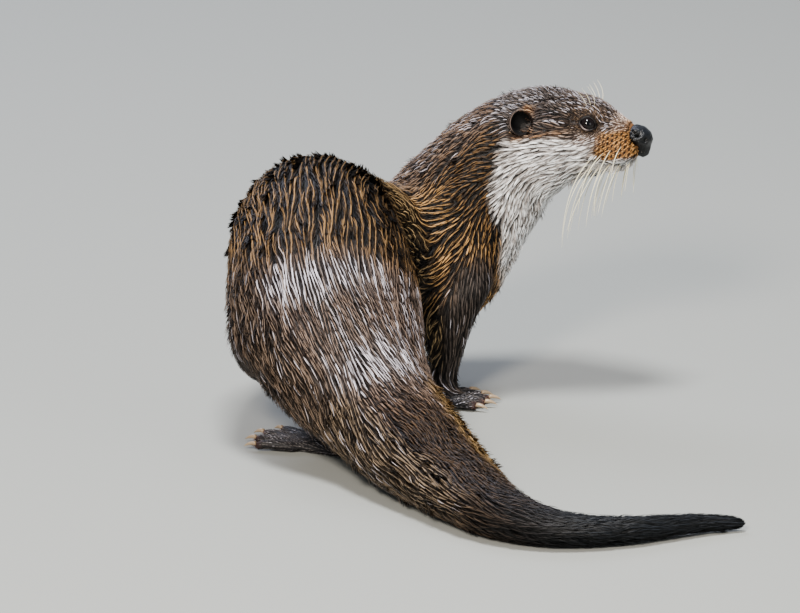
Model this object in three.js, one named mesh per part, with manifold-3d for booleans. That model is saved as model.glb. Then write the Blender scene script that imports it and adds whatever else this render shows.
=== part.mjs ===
// A river otter, life size, standing hunched on all four feet. Its hindquarters face away, its back is
// arched, its body bends to its right, and its head looks along +X. The tail lies on the floor in front.
// Millimetres, +Z up. The solids reach to the tips of the coat and meet with a thin parting gap.
import * as THREE from "three";
import { mergeVertices } from "three/addons/utils/BufferGeometryUtils.js";
import Module from "manifold-3d";

const wasm = await Module();
wasm.setup();

// ---- driving dimensions ----
const partingGap = 0.3; // between touching pieces
const eyeRadius = 6.2;
const eyeOffset = 22.6; // of an eyeball's centre from the head's middle plane
const eyeForward = -0.3;
const eyeDrop = -2;
const betweenEyes = [140.6, 116, 209.2]; // the head's own origin, midway between the eyes
const headYaw = 12; // degrees, nose turned towards -Y
const headRoll = 8; // degrees, crown leaning towards +Y
const nosePadForm = { at: [33.5, 0, -12.2], radii: [11.4, 12.2, 9.4], pitch: 0.35 };
const noseStripForm = { at: [35, 0, -19.5], radii: [8.4, 7.4, 7.6] };
const nostrilForm = { at: [38, 8.5, -12.8], radii: [4.6, 3, 2.8] };
const whiskerPadForm = { at: [18.5, 11.5, -22.5], radii: [17, 12.5, 11] };
const chinForm = { at: [15, 0, -31.5], radii: [15, 10, 6.5] };
const earCupForm = { at: [-46, 39.5, -1.5], radii: [10.5, 8, 10.5] };
const earHollowForm = { at: [-43.4, 46.5, -2.5], radii: [7.4, 8.8, 7.8] };
const earTurn = 0.35;
const clawLength = 7;
const forefoot = { sole: 30, wide: 36, thick: 7.5, toe: 19, toeRadius: 4.6, spread: 13 };
const hindfoot = { sole: 58, wide: 42, thick: 8.5, toe: 33, toeRadius: 5.0, spread: 13 };
const toeLengths = [0.82, 0.97, 1.0, 0.95, 0.76]; // of each toe, innermost last, as a share of `toe`
const webShare = 0.62; // how far the web reaches along the toes
const webThick = 2.4;

const colour = {
  back: 0x4b3626,
  limbs: 0x33261e,
  head: 0x6b5544,
  nose: 0x16181d,
  ear: 0x2a1f1a,
  eye: 0x0c0c0e,
  claw: 0xc9b193,
};

// ---- the sections that the body is stretched over ----
// Head, in the head's own frame: x forward of the eyes, z above them. `top` and `bottom` are the profile,
// and `square` fills out the corners of the oval.
const headSections = [
  { x: 37, mid: -15.5, top: -8, bottom: -24, wide: 8, square: 0 },
  { x: 32, mid: -17, top: -5, bottom: -28.5, wide: 12.5, square: 0.1 },
  { x: 26, mid: -18, top: -0.6, bottom: -31.5, wide: 19.5, square: 0.15 },
  { x: 18, mid: -17.5, top: 5.2, bottom: -35, wide: 23, square: 0.2 },
  { x: 8, mid: -16, top: 12, bottom: -39, wide: 26, square: 0.25 },
  { x: -3, mid: -15, top: 16.7, bottom: -43.5, wide: 31, square: 0.25 },
  { x: -15, mid: -14.5, top: 19, bottom: -48, wide: 37.5, square: 0.2 },
];

// Jaw to breastbone. `up` points to the nape, in the plane of each section.
const neckSections = [
  { at: [110.2, 119, 193.2], up: [-0.18, 0, 0.98], wide: 42, high: 39, deep: 40.5, square: 0.1 },
  { at: [96.5, 122, 187], up: [-0.3, 0, 0.95], wide: 44.5, high: 43, deep: 43 },
  { at: [85.6, 124, 178.4], up: [-0.43, 0, 0.9], wide: 46, high: 46.9, deep: 46.9 },
  { at: [67.5, 126, 161.6], up: [-0.54, 0, 0.84], wide: 47, high: 50.8, deep: 50.8 },
  { at: [51.5, 127, 141.7], up: [-0.61, 0, 0.79], wide: 49, high: 54.2, deep: 54.2 },
  { at: [34.8, 127, 119.7], up: [-0.66, 0, 0.75], wide: 52, high: 58.1, deep: 58.1 },
  { at: [18.4, 125, 93.8], up: [-0.66, 0, 0.75], wide: 52, high: 60, deep: 52 },
  { at: [5.9, 122, 72], up: [-0.7, 0, 0.7], wide: 43, high: 44, deep: 38 },
];

// Withers to tail tip.
const trunkSections = [
  { at: [14, 122, 100], up: [-0.3, 0.2, 0.93], wide: 48, high: 46, deep: 44 },
  { at: [-13, 110, 111], up: [-0.12, 0.25, 0.96], wide: 55, high: 54, deep: 50 },
  { at: [-43, 90, 127], up: [-0.1, 0.2, 0.98], wide: 58, high: 54, deep: 53 },
  { at: [-60, 60, 137], up: [-0.05, 0.1, 0.99], wide: 63, high: 61, deep: 56 },
  { at: [-58, 22, 122], up: [-0.08, -0.35, 0.93], wide: 69, high: 60, deep: 57 },
  { at: [-53, -14, 99], up: [-0.05, -0.5, 0.86], wide: 71, high: 57, deep: 52 },
  { at: [-38, -50, 72], up: [0.1, -0.55, 0.82], wide: 62, high: 48, deep: 46 },
  { at: [-14.3, -85, 47], up: [0.12, -0.4, 0.9], wide: 47, high: 37, deep: 40 },
  { at: [14.2, -137, 31], up: [0.05, -0.2, 0.98], wide: 42, high: 30, deep: 32 },
  { at: [38.8, -183, 23], up: [0, -0.1, 1], wide: 34, high: 24, deep: 24 },
  { at: [63.1, -228, 19], up: [0, 0, 1], wide: 27, high: 20, deep: 20 },
  { at: [90.9, -254, 15.7], up: [0, 0, 1], wide: 20.5, high: 16, deep: 16.3 },
  { at: [122.3, -262, 12.8], up: [0, 0, 1], wide: 16, high: 13, deep: 13.4 },
  { at: [163, -254, 10.6], up: [0, 0, 1], wide: 12.6, high: 10.8, deep: 11.2 },
  { at: [210, -231, 8.4], up: [0, 0, 1], wide: 9.6, high: 8.4, deep: 9 },
  { at: [240, -224, 6.4], up: [0, 0, 1], wide: 6.4, high: 6, deep: 7 },
];

// Where the body parts into nodes: a point of the cut and the direction that it faces.
const cuts = {
  neck: { at: [88, 124, 181], facing: [0.92, 0, 0.4] },
  chest: { at: [48, 127, 138], facing: [0.78, 0, 0.62] },
  rump: { at: [-55, 20, 120], facing: [0.1, -0.87, -0.48] },
  tailRoot: { at: [-2, -108, 40], facing: [0.42, -0.86, -0.28] },
  tailMiddle: { at: [68, -235, 18], facing: [0.62, -0.78, -0.05] },
  tailTip: { at: [158, -256, 11], facing: [0.97, 0.22, 0] },
};

// Limbs, right ones first: the muscle that joins the body, then the lower leg's sections down to the ankle.
const limbs = [
  {
    name: "foreleg_right",
    muscle: { at: [41, 92, 98], radii: [29, 17, 40], turn: [0, 0.3, 0] },
    sections: [
      { at: [42, 87, 82], up: [1, 0, 0.3], wide: 16, high: 27, deep: 26 },
      { at: [35, 89, 55], up: [1, 0, 0.2], wide: 14.5, high: 19, deep: 22 },
      { at: [35, 90, 35], up: [1, 0, 0], wide: 12, high: 11.5, deep: 16.5 },
      { at: [32.5, 89, 17], up: [1, 0, 0], wide: 10.5, high: 9.2, deep: 13 },
      { at: [34, 89, 7], up: [1, 0, 0], wide: 11, high: 9, deep: 11 },
    ],
    ankle: 14.5,
    foot: { ...forefoot, heel: [18, 86.5], heading: 7 },
  },
  {
    name: "foreleg_left",
    muscle: { at: [31, 159, 98], radii: [29, 17, 40], turn: [0, 0.4, 0] },
    sections: [
      { at: [26, 164, 80], up: [1, 0, 0.4], wide: 16, high: 26, deep: 26 },
      { at: [14, 165, 55], up: [1, 0, 0.3], wide: 14.5, high: 19, deep: 22 },
      { at: [6, 164, 35], up: [1, 0, 0.2], wide: 12, high: 11.5, deep: 16.5 },
      { at: [2, 163, 17], up: [1, 0, 0], wide: 10.5, high: 9.2, deep: 13 },
      { at: [3, 163, 7], up: [1, 0, 0], wide: 11, high: 9, deep: 11 },
    ],
    ankle: 14.5,
    foot: { ...forefoot, heel: [-13, 162], heading: 16 },
  },
  {
    name: "hindleg_right",
    muscle: { at: [-6, -4, 78], radii: [25, 42, 37], turn: [-0.5, 0, 0.1] },
    sections: [
      { at: [3, 12, 56], up: [0, -0.7, 0.7], wide: 19, high: 22, deep: 18 },
      { at: [4, -4, 38], up: [0, -0.6, 0.8], wide: 15, high: 16, deep: 14 },
      { at: [0, -24, 25], up: [0, -0.5, 0.85], wide: 11.5, high: 12, deep: 11 },
      { at: [1, -36, 12], up: [0, -0.8, 0.6], wide: 10.5, high: 9, deep: 9 },
    ],
    ankle: 15.5,
    foot: { ...hindfoot, heel: [-1, -40], heading: 82 },
  },
  {
    name: "hindleg_left",
    muscle: { at: [-98, -12, 82], radii: [26, 41, 36], turn: [-0.5, 0, -0.1] },
    sections: [
      { at: [-90, -2, 56], up: [0.4, -0.6, 0.7], wide: 19, high: 22, deep: 18 },
      { at: [-70, -14, 40], up: [0.5, -0.4, 0.75], wide: 15, high: 16, deep: 14 },
      { at: [-46, -33, 26], up: [0.4, -0.3, 0.85], wide: 11.5, high: 12, deep: 11 },
      { at: [-37, -44, 12], up: [0.6, -0.5, 0.6], wide: 10.5, high: 9, deep: 9 },
    ],
    ankle: 15.5,
    foot: { ...hindfoot, heel: [-28, -50], heading: 143 },
  },
];

// ---- shapes ----
const vec = (p) => new THREE.Vector3(...p);
const smoothCurve = (points) => new THREE.CatmullRomCurve3(points, false, "catmullrom", 0.5);

// A closed skin round a line of sections. Each section is an oval in the plane of its `up` and of the side
// direction square to `up` and to the line: `wide` is its half width, `high` and `deep` reach above and
// below its centre. Both ends are domes, `ends` long.
function loft(sections, { sides = 16, rings = 2, ends = [6, 6], grow = 0, dome = [65, 35] } = {}) {
  const line = smoothCurve(sections.map((s) => vec(s.at)));
  const ups = smoothCurve(sections.map((s) => vec(s.up)));
  const sizes = smoothCurve(sections.map((s) => new THREE.Vector3(s.wide, s.high, s.deep)));
  const squares = smoothCurve(sections.map((s) => new THREE.Vector3(s.square ?? 0, 0, 0)));
  const bulge = (share, power) => Math.sign(share) * Math.abs(share) ** power;
  const steps = (sections.length - 1) * rings;
  const domeSteps = dome.map((degrees) => THREE.MathUtils.degToRad(degrees));
  const positions = [];
  const addRing = (t, scale, shift) => {
    const along = line.getTangent(t);
    const up = ups.getPoint(t).normalize();
    const side = new THREE.Vector3().crossVectors(along, up).normalize();
    const centre = line.getPoint(t).addScaledVector(along, shift);
    const size = sizes.getPoint(t).addScalar(grow).multiplyScalar(scale);
    const power = 1 - squares.getPoint(t).x;
    for (let i = 0; i < sides; i++) {
      const angle = (i / sides) * 2 * Math.PI;
      const rise = bulge(Math.sin(angle), power);
      const point = centre.clone().addScaledVector(side, bulge(Math.cos(angle), power) * size.x);
      point.addScaledVector(up, rise * (rise > 0 ? size.y : size.z));
      positions.push(point);
    }
  };
  const [startLength, endLength] = ends.map((length) => length + grow);
  for (const a of domeSteps) addRing(0, Math.cos(a), -startLength * Math.sin(a));
  for (let i = 0; i <= steps; i++) addRing(i / steps, 1, 0);
  for (const a of domeSteps.toReversed()) addRing(1, Math.cos(a), endLength * Math.sin(a));

  const ringCount = positions.length / sides;
  const startPole = positions.push(line.getPoint(0).addScaledVector(line.getTangent(0), -startLength)) - 1;
  const endPole = positions.push(line.getPoint(1).addScaledVector(line.getTangent(1), endLength)) - 1;
  const triangles = [];
  for (let i = 0; i < sides; i++) {
    const next = (i + 1) % sides;
    triangles.push(startPole, next, i);
    for (let r = 0; r < ringCount - 1; r++) {
      const [a, b, c, d] = [r * sides + i, r * sides + next, (r + 1) * sides + i, (r + 1) * sides + next];
      triangles.push(a, b, c, b, d, c);
    }
    const last = (ringCount - 1) * sides;
    triangles.push(endPole, last + i, last + next);
  }
  const geometry = new THREE.BufferGeometry().setFromPoints(positions);
  geometry.setIndex(triangles);
  return geometry;
}

function ellipsoid(centre, radii, turn = [0, 0, 0], segments = 12) {
  const geometry = new THREE.SphereGeometry(1, segments, Math.ceil(segments / 2) + 1);
  geometry.scale(...radii);
  const turned = new THREE.Matrix4().makeRotationFromEuler(new THREE.Euler(...turn));
  return geometry.applyMatrix4(turned.setPosition(...centre));
}

// ---- solids: joining and cutting ----
function solid(geometry) {
  const bare = geometry.clone();
  bare.deleteAttribute("normal");
  bare.deleteAttribute("uv");
  const merged = mergeVertices(bare, 1e-4);
  const triVerts = new Uint32Array(merged.index.array);
  const made = () =>
    new wasm.Manifold(
      new wasm.Mesh({ numProp: 3, vertProperties: merged.attributes.position.array, triVerts }),
    );
  const first = made();
  if (first.volume() > 0) return first;
  for (let i = 0; i < triVerts.length; i += 3) {
    [triVerts[i + 1], triVerts[i + 2]] = [triVerts[i + 2], triVerts[i + 1]];
  }
  return made();
}

const join = (solids) => solids.reduce((whole, one) => whole.add(one));

// The biggest body of a solid, without the slivers that a cut leaves.
function mainBody(whole) {
  const bodies = whole.decompose();
  return bodies.reduce((best, body) => (body.volume() > best.volume() ? body : best));
}

const aboveFloor = (whole) => whole.trimByPlane([0, 0, 1], 0);

// What lies ahead of a cut, half a parting gap from it.
function ahead(whole, { at, facing }) {
  const normal = vec(facing).normalize();
  return whole.trimByPlane(normal.toArray(), normal.dot(vec(at)) + partingGap / 2);
}

function split(whole, cut) {
  const turned = { at: cut.at, facing: cut.facing.map((share) => -share) };
  return [mainBody(ahead(whole, cut)), mainBody(ahead(whole, turned))];
}

// ---- head ----
const headFrame = new THREE.Matrix4()
  .makeRotationZ(THREE.MathUtils.degToRad(-headYaw))
  .multiply(new THREE.Matrix4().makeRotationX(THREE.MathUtils.degToRad(-headRoll)))
  .setPosition(...betweenEyes);
const inHead = (x, y, z) => new THREE.Vector3(x, y, z).applyMatrix4(headFrame);
const headUp = new THREE.Vector3(0, 0, 1).transformDirection(headFrame).toArray();

const headLoftSections = headSections.map((s) => ({
  at: inHead(s.x, 0, s.mid).toArray(),
  up: headUp,
  wide: s.wide,
  high: s.top - s.mid,
  deep: s.mid - s.bottom,
  square: s.square,
}));

const frontLoft = (grow) =>
  solid(loft([...headLoftSections, ...neckSections], { sides: 16, rings: 2, ends: [5, 16], grow }));

// An ellipsoid in the head's frame. `side` is 1 for the left of a pair and -1 for the right.
const headForm = (form, { side = 1, grow = 0, turn = [0, 0, 0], segments = 12 } = {}) => {
  const [x, y, z] = form.at;
  const radii = form.radii.map((radius) => radius + grow);
  return solid(ellipsoid([x, side * y, z], radii, turn, segments).applyMatrix4(headFrame));
};
const eyeForm = {
  at: [eyeForward, eyeOffset, eyeDrop],
  radii: [eyeRadius, eyeRadius, eyeRadius],
};
const eyeBall = (side, grow) => headForm(eyeForm, { side, grow, segments: 10 });

// The nose pad, which slopes down to the front, with the narrow strip that runs from it to the lip.
function noseShape(grow) {
  const pad = headForm(nosePadForm, { grow, turn: [0, nosePadForm.pitch, 0], segments: 11 });
  return pad.add(headForm(noseStripForm, { grow, segments: 8 }));
}

function nosePad() {
  const nostril = (side) => headForm(nostrilForm, { side, segments: 6 });
  return noseShape(0).subtract(nostril(1)).subtract(nostril(-1));
}

// The upper lip's whisker pads and the chin.
function lips() {
  const pad = (side) => headForm(whiskerPadForm, { side });
  return join([pad(1), pad(-1), headForm(chinForm, { segments: 9 })]);
}

// A small round cup that opens outwards and forwards.
function ear(side, head) {
  const turned = { side, turn: [0, 0, side * earTurn], segments: 10 };
  const cup = headForm(earCupForm, turned);
  return mainBody(cup.subtract(headForm(earHollowForm, turned)).subtract(head));
}

// ---- feet ----
// In the foot's own frame the heel is at the origin, on the floor, and the toes point along +X.
function foot(f) {
  const frame = new THREE.Matrix4().makeRotationZ(THREE.MathUtils.degToRad(f.heading));
  frame.setPosition(f.heel[0], f.heel[1], 0);
  const placed = (geometry) => solid(geometry.applyMatrix4(frame));
  const up = [0, 0, 1];
  const soleSection = (x, wide, high) => ({ at: [x, 0, 4], up, wide, high, deep: 5 });
  const sole = loft(
    [
      soleSection(3, f.wide * 0.2, f.thick * 0.8),
      soleSection(f.sole * 0.4, f.wide * 0.27, f.thick * 1.05),
      soleSection(f.sole * 0.75, f.wide * 0.37, f.thick * 0.9),
      soleSection(f.sole, f.wide * 0.42, f.thick * 0.6),
    ],
    { sides: 8, rings: 1, ends: [5, 6], dome: [] },
  );
  const pieces = [placed(sole)];
  const claws = [];
  const webPoints = [];
  toeLengths.forEach((share, i) => {
    const angle = THREE.MathUtils.degToRad((2 - i) * f.spread);
    const heading = new THREE.Vector3(Math.cos(angle), Math.sin(angle), 0);
    const root = new THREE.Vector3(f.sole - Math.abs(i - 2) * 3 - 4, (2 - i) * f.wide * 0.18, 0);
    const length = f.toe * share + 4;
    const r = f.toeRadius;
    const toeSection = (reach, z, size) => ({
      at: root.clone().addScaledVector(heading, reach * length).setZ(z).toArray(),
      up,
      wide: r * size,
      high: r * size,
      deep: r * size,
    });
    const toeSections = [
      toeSection(0, 4, 0.9),
      toeSection(0.55, r * 1.15, 0.95),
      toeSection(0.9, r * 0.8, 0.92),
    ];
    const toe = loft(toeSections, { sides: 6, rings: 1, ends: [2, r * 0.9], dome: [] });
    pieces.push(placed(toe));
    webPoints.push(root.clone().addScaledVector(heading, length * webShare));
    const tip = root.clone().addScaledVector(heading, length * 0.9 + r * 0.55);
    const clawSection = (reach, z, size) => ({
      at: tip.clone().addScaledVector(heading, reach * clawLength).setZ(z).toArray(),
      up,
      wide: size,
      high: size * 1.2,
      deep: size,
    });
    const clawSections = [
      clawSection(0, r * 0.95, 1.7),
      clawSection(0.5, r * 0.95, 1.35),
      clawSection(0.95, r * 0.62, 0.6),
    ];
    claws.push(placed(loft(clawSections, { sides: 4, rings: 1, ends: [0.8, 0.6], dome: [] })));
  });
  pieces.push(placed(web(webPoints, f)));
  return { whole: join(pieces), claws };
}

// A thin fan between the toes, hollowed at its front edge between each two.
function web(points, f) {
  const outline = new THREE.Shape();
  outline.moveTo(f.sole * 0.6, 0);
  outline.lineTo(points[0].x, points[0].y);
  for (let i = 1; i < points.length; i++) {
    const hollow = points[i - 1].clone().add(points[i]).multiplyScalar(0.5);
    hollow.x -= f.toe * 0.22;
    outline.quadraticCurveTo(hollow.x, hollow.y, points[i].x, points[i].y);
  }
  outline.closePath();
  const plate = new THREE.ExtrudeGeometry(outline, {
    depth: webThick,
    bevelEnabled: false,
    curveSegments: 1,
  });
  return plate.translate(0, 0, 2.2);
}

// ---- assembly ----
const otter = new THREE.Group();
const finish = (hex, roughness) => new THREE.MeshStandardMaterial({ color: hex, roughness, metalness: 0 });
const furBack = finish(colour.back, 0.6);
const furHead = finish(colour.head, 0.6);
const furLimb = finish(colour.limbs, 0.65);

function addNode(name, whole, material) {
  const { vertProperties, triVerts, numProp } = whole.getMesh();
  const geometry = new THREE.BufferGeometry();
  geometry.setAttribute("position", new THREE.InterleavedBufferAttribute(
    new THREE.InterleavedBuffer(vertProperties, numProp), 3, 0));
  geometry.setIndex(new THREE.BufferAttribute(triVerts, 1));
  const mesh = new THREE.Mesh(geometry.toNonIndexed(), material);
  mesh.geometry.computeVertexNormals();
  mesh.name = name;
  otter.add(mesh);
}

const front = frontLoft(0);
const frontGrown = frontLoft(partingGap);
const trunkLoft = (grow) =>
  solid(loft(trunkSections, { sides: 16, rings: 2, ends: [10, 6], grow, dome: [45] }));
const rear = aboveFloor(mainBody(trunkLoft(0).subtract(front.add(frontGrown))));
const bodyAndGap = [front, frontGrown, rear, trunkLoft(partingGap)];

const [headPart, belowHead] = split(front, cuts.neck);
const [neckPart, chestPart] = split(belowHead, cuts.chest);
const headFlesh = headPart.add(lips());
const headWithSockets = [-1, 1]
  .reduce((head, side) => head.subtract(eyeBall(side, partingGap)), headFlesh)
  .subtract(noseShape(partingGap));

addNode("head", mainBody(headWithSockets), furHead);
addNode("nose", nosePad(), finish(colour.nose, 0.35));
for (const [name, side] of [["left", 1], ["right", -1]]) {
  addNode(`eye_${name}`, eyeBall(side, 0), finish(colour.eye, 0.05));
  addNode(`ear_${name}`, ear(side, frontGrown), finish(colour.ear, 0.7));
}
addNode("neck", neckPart, furBack);
addNode("chest", chestPart, furBack);

const [rumpAndTail, trunkPart] = split(rear, cuts.rump);
const [wholeTail, rumpPart] = split(rumpAndTail, cuts.tailRoot);
const [tailRear, tailRootPart] = split(wholeTail, cuts.tailMiddle);
const [tailTipPart, tailMiddlePart] = split(tailRear, cuts.tailTip);
addNode("trunk", trunkPart, furBack);
addNode("hindquarters", rumpPart, furBack);
addNode("tail_root", tailRootPart, furBack);
addNode("tail_middle", tailMiddlePart, furBack);
addNode("tail_tip", tailTipPart, furBack);

for (const limb of limbs) {
  const { at, radii, turn } = limb.muscle;
  const muscle = solid(ellipsoid(at, radii, turn, 10));
  const leg = muscle.add(solid(loft(limb.sections, { sides: 10, rings: 1, ends: [20, 4], dome: [45] })));
  const { whole: footWhole, claws } = foot(limb.foot);
  const free = bodyAndGap.reduce((rest, body) => rest.subtract(body), leg.add(footWhole));
  const clear = claws.reduce((rest, claw) => rest.subtract(claw), aboveFloor(mainBody(free)));
  const [legPart, footPart] = split(clear, { at: [0, 0, limb.ankle], facing: [0, 0, 1] });
  addNode(limb.name, legPart, furLimb);
  addNode(limb.name.replace("leg", "foot"), footPart, furLimb);
  claws.forEach((claw, i) => {
    addNode(`${limb.name.replace("leg", "claw")}_${i + 1}`, claw, finish(colour.claw, 0.4));
  });
}

// The part's origin is on the floor under the middle of its box.
const box = new THREE.Box3().setFromObject(otter);
const middle = box.getCenter(new THREE.Vector3());
otter.position.set(-middle.x, -middle.y, -box.min.z);

export default otter;
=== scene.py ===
import math

import bmesh
import bpy
import numpy as np
from mathutils import Matrix, Vector
from mathutils.bvhtree import BVHTree
from mathutils.kdtree import KDTree


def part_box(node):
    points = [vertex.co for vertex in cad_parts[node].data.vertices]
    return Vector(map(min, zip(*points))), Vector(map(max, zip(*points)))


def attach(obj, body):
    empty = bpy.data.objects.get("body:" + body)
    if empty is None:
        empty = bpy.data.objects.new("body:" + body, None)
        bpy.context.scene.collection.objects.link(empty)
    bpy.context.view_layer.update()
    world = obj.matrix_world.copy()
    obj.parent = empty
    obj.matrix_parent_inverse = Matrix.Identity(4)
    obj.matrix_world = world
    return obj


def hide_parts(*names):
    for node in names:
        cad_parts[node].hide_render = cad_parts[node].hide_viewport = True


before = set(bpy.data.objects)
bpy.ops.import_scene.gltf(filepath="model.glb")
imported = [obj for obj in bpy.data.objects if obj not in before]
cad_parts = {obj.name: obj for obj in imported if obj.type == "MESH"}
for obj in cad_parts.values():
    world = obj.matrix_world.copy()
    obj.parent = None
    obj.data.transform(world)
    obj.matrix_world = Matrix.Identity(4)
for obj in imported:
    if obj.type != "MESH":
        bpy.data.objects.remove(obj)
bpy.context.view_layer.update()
rng = np.random.default_rng(41)

# A river otter, Lutra lutra, fresh out of the water. Lengths are in millimetres here, and turned
# into metres where a mesh is made.


# small tools for arrays of points
def unit(v):
    return v / np.maximum(np.linalg.norm(v, axis=-1, keepdims=True), 1e-9)


def dot(a, b):
    return (a * b).sum(-1)


def smooth(x, low, high):  # 0 below low, 1 above high
    t = np.clip((x - low) / (high - low), 0, 1)
    return t * t * (3 - 2 * t)


def band(x, riseFrom, riseTo, fallFrom, fallTo):  # 1 between riseTo and fallFrom, 0 beyond the outer two
    return smooth(x, riseFrom, riseTo) * (1 - smooth(x, fallFrom, fallTo))


def bell(x, middle, width):
    return np.exp(-(((x - middle) / width) ** 2))


def mix(a, b, share):
    share = np.asarray(share)
    if np.ndim(a) > np.ndim(share) or np.ndim(b) > np.ndim(share):
        share = share[..., None]
    return a + (np.asarray(b) - a) * share


def fromHex(text):  # sRGB hex to linear
    parts = np.array([int(text[i : i + 2], 16) / 255 for i in (1, 3, 5)])
    return np.where(parts <= 0.04045, parts / 12.92, ((parts + 0.055) / 1.055) ** 2.4)


def readMesh(me):  # points in mm, triangles and edges
    co = np.empty(len(me.vertices) * 3)
    me.vertices.foreach_get("co", co)
    me.calc_loop_triangles()
    tris = np.empty(len(me.loop_triangles) * 3, int)
    me.loop_triangles.foreach_get("vertices", tris)
    edges = np.empty(len(me.edges) * 2, int)
    me.edges.foreach_get("vertices", edges)
    return co.reshape(-1, 3) * 1000, tris.reshape(-1, 3), edges.reshape(-1, 2)


def nodePoints(name):  # corner points and triangles of a CAD node, shared corners merged
    points, tris, _ = readMesh(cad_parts[name].data)
    points, back = np.unique(np.round(points, 3), axis=0, return_inverse=True)
    tris = back.reshape(-1)[tris]
    whole = (tris[:, 0] != tris[:, 1]) & (tris[:, 1] != tris[:, 2]) & (tris[:, 0] != tris[:, 2])
    return points, tris[whole]


def cornerNormals(points, tris):
    a, b, c = (points[tris[:, i]] for i in range(3))
    face = np.cross(b - a, c - a)
    out = np.zeros_like(points)
    for i in range(3):
        for axis in range(3):
            out[:, axis] += np.bincount(tris[:, i], face[:, axis], len(points))
    return unit(out)


def meshFrom(name, points, faces):
    me = bpy.data.meshes.new(name)
    me.from_pydata((np.asarray(points) / 1000).tolist(), [], [[int(i) for i in face] for face in faces])
    me.shade_smooth()
    return me


def fastMesh(name, points, tris):  # the same, quicker, for very many triangles
    me = bpy.data.meshes.new(name)
    me.vertices.add(len(points))
    me.vertices.foreach_set("co", (points / 1000).astype(np.float32).ravel())
    me.loops.add(tris.size)
    me.loops.foreach_set("vertex_index", tris.astype(np.int32).ravel())
    me.polygons.add(len(tris))
    me.polygons.foreach_set("loop_start", np.arange(0, tris.size, 3, dtype=np.int32))
    me.polygons.foreach_set("use_smooth", np.ones(len(tris), bool))
    me.update(calc_edges=True)
    me.validate()
    return me


def movePoints(me, points):
    me.vertices.foreach_set("co", (points / 1000).astype(np.float32).ravel())


def addObject(name, data):
    ob = bpy.data.objects.new(name, data)
    bpy.context.scene.collection.objects.link(ob)
    return ob


def addPiece(name, me, material, slot, *nodes):
    ob = addObject(name, me)
    me.materials.clear()
    me.materials.append(material)
    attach(ob, "root")
    if nodes:
        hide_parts(*nodes)


def paint(me, name, colours):  # a colour for each point
    layer = me.color_attributes.new(name, "FLOAT_COLOR", "POINT")
    rgba = np.ones((len(colours), 4), np.float32)
    rgba[:, :3] = colours
    layer.data.foreach_set("color", rgba.ravel())


def mirrored(place, side):  # as given where side is 1, on the other side of the head where it is -1
    return np.array(place) * [1, side, 1]


# the head's own frame: x forward from midway between the eyes, y to its left, z up
head = {"yaw": -12, "roll": -8, "eyeForward": -0.3, "eyeDrop": -2, "eyeOut": 22.6, "eyeRadius": 6.2}
headTurn = np.array(
    Matrix.Rotation(math.radians(head["yaw"]), 3, "Z") @ Matrix.Rotation(math.radians(head["roll"]), 3, "X")
)
eyeMiddles = [np.array(sum(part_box(f"eye_{side}"), Vector())) * 500 for side in ("right", "left")]
headOrigin = sum(eyeMiddles) / 2 - headTurn @ np.array([head["eyeForward"], 0, head["eyeDrop"]])
poseShift = headOrigin - np.array([140.6, 116.0, 209.2])  # the pose's points to the frame's


def fromHead(points):
    return np.asarray(points, float) @ headTurn.T + headOrigin


def toHead(points):
    return (points - headOrigin) @ headTurn


# spine: where it runs, and which way the back faces there
spine = {
    "front": [
        ([110.2, 119, 193.2], [-0.18, 0, 0.98]),
        ([96.5, 122, 187], [-0.3, 0, 0.95]),
        ([85.6, 124, 178.4], [-0.43, 0, 0.9]),
        ([67.5, 126, 161.6], [-0.54, 0, 0.84]),
        ([51.5, 127, 141.7], [-0.61, 0, 0.79]),
        ([34.8, 127, 119.7], [-0.66, 0, 0.75]),
        ([18.4, 125, 93.8], [-0.66, 0, 0.75]),
    ],
    "rear": [
        ([14, 122, 100], [-0.3, 0.2, 0.93]),
        ([-13, 110, 111], [-0.12, 0.25, 0.96]),
        ([-43, 90, 127], [-0.1, 0.2, 0.98]),
        ([-60, 60, 137], [-0.05, 0.1, 0.99]),
        ([-58, 22, 122], [-0.08, -0.35, 0.93]),
        ([-53, -14, 99], [-0.05, -0.5, 0.86]),
        ([-38, -50, 72], [0.1, -0.55, 0.82]),
        ([-14.3, -85, 47], [0.12, -0.4, 0.9]),
        ([14.2, -137, 31], [0.05, -0.2, 0.98]),
        ([38.8, -183, 23], [0, -0.1, 1]),
        ([63.1, -228, 19], [0, 0, 1]),
        ([90.9, -254, 15.7], [0, 0, 1]),
        ([122.3, -262, 12.8], [0, 0, 1]),
        ([163, -254, 10.6], [0, 0, 1]),
        ([210, -231, 8.4], [0, 0, 1]),
        ([245, -222, 6.4], [0, 0, 1]),
    ],
}


def densify(rows, startAt):  # points every 2 mm or so on a smooth line, with tangents and ups
    at = np.array([row[0] for row in rows]) + poseShift
    up = np.array([row[1] for row in rows], float)
    padded = [np.vstack([2 * p[0] - p[1], p, 2 * p[-1] - p[-2]]) for p in (at, up)]
    out = []
    for p in padded:
        t = np.linspace(0, 1, 20, endpoint=False)[:, None]
        pieces = [
            0.5 * (2 * b + (c - a) * t + (2 * a - 5 * b + 4 * c - d) * t**2 + (3 * b - a - 3 * c + d) * t**3)
            for a, b, c, d in zip(p[:-3], p[1:-2], p[2:-1], p[3:])
        ]
        out.append(np.vstack(pieces + [p[-2:-1]]))
    line, ups = out
    tangent = unit(np.gradient(line, axis=0))
    length = np.concatenate([[0], np.cumsum(np.linalg.norm(np.diff(line, axis=0), axis=1))])
    return {"line": line, "tangent": tangent, "up": unit(ups), "along": length + startAt}


frontLine = densify(spine["front"], 60)  # the head takes the first 60 mm
rearLine = densify(spine["rear"], frontLine["along"][-1])


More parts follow.
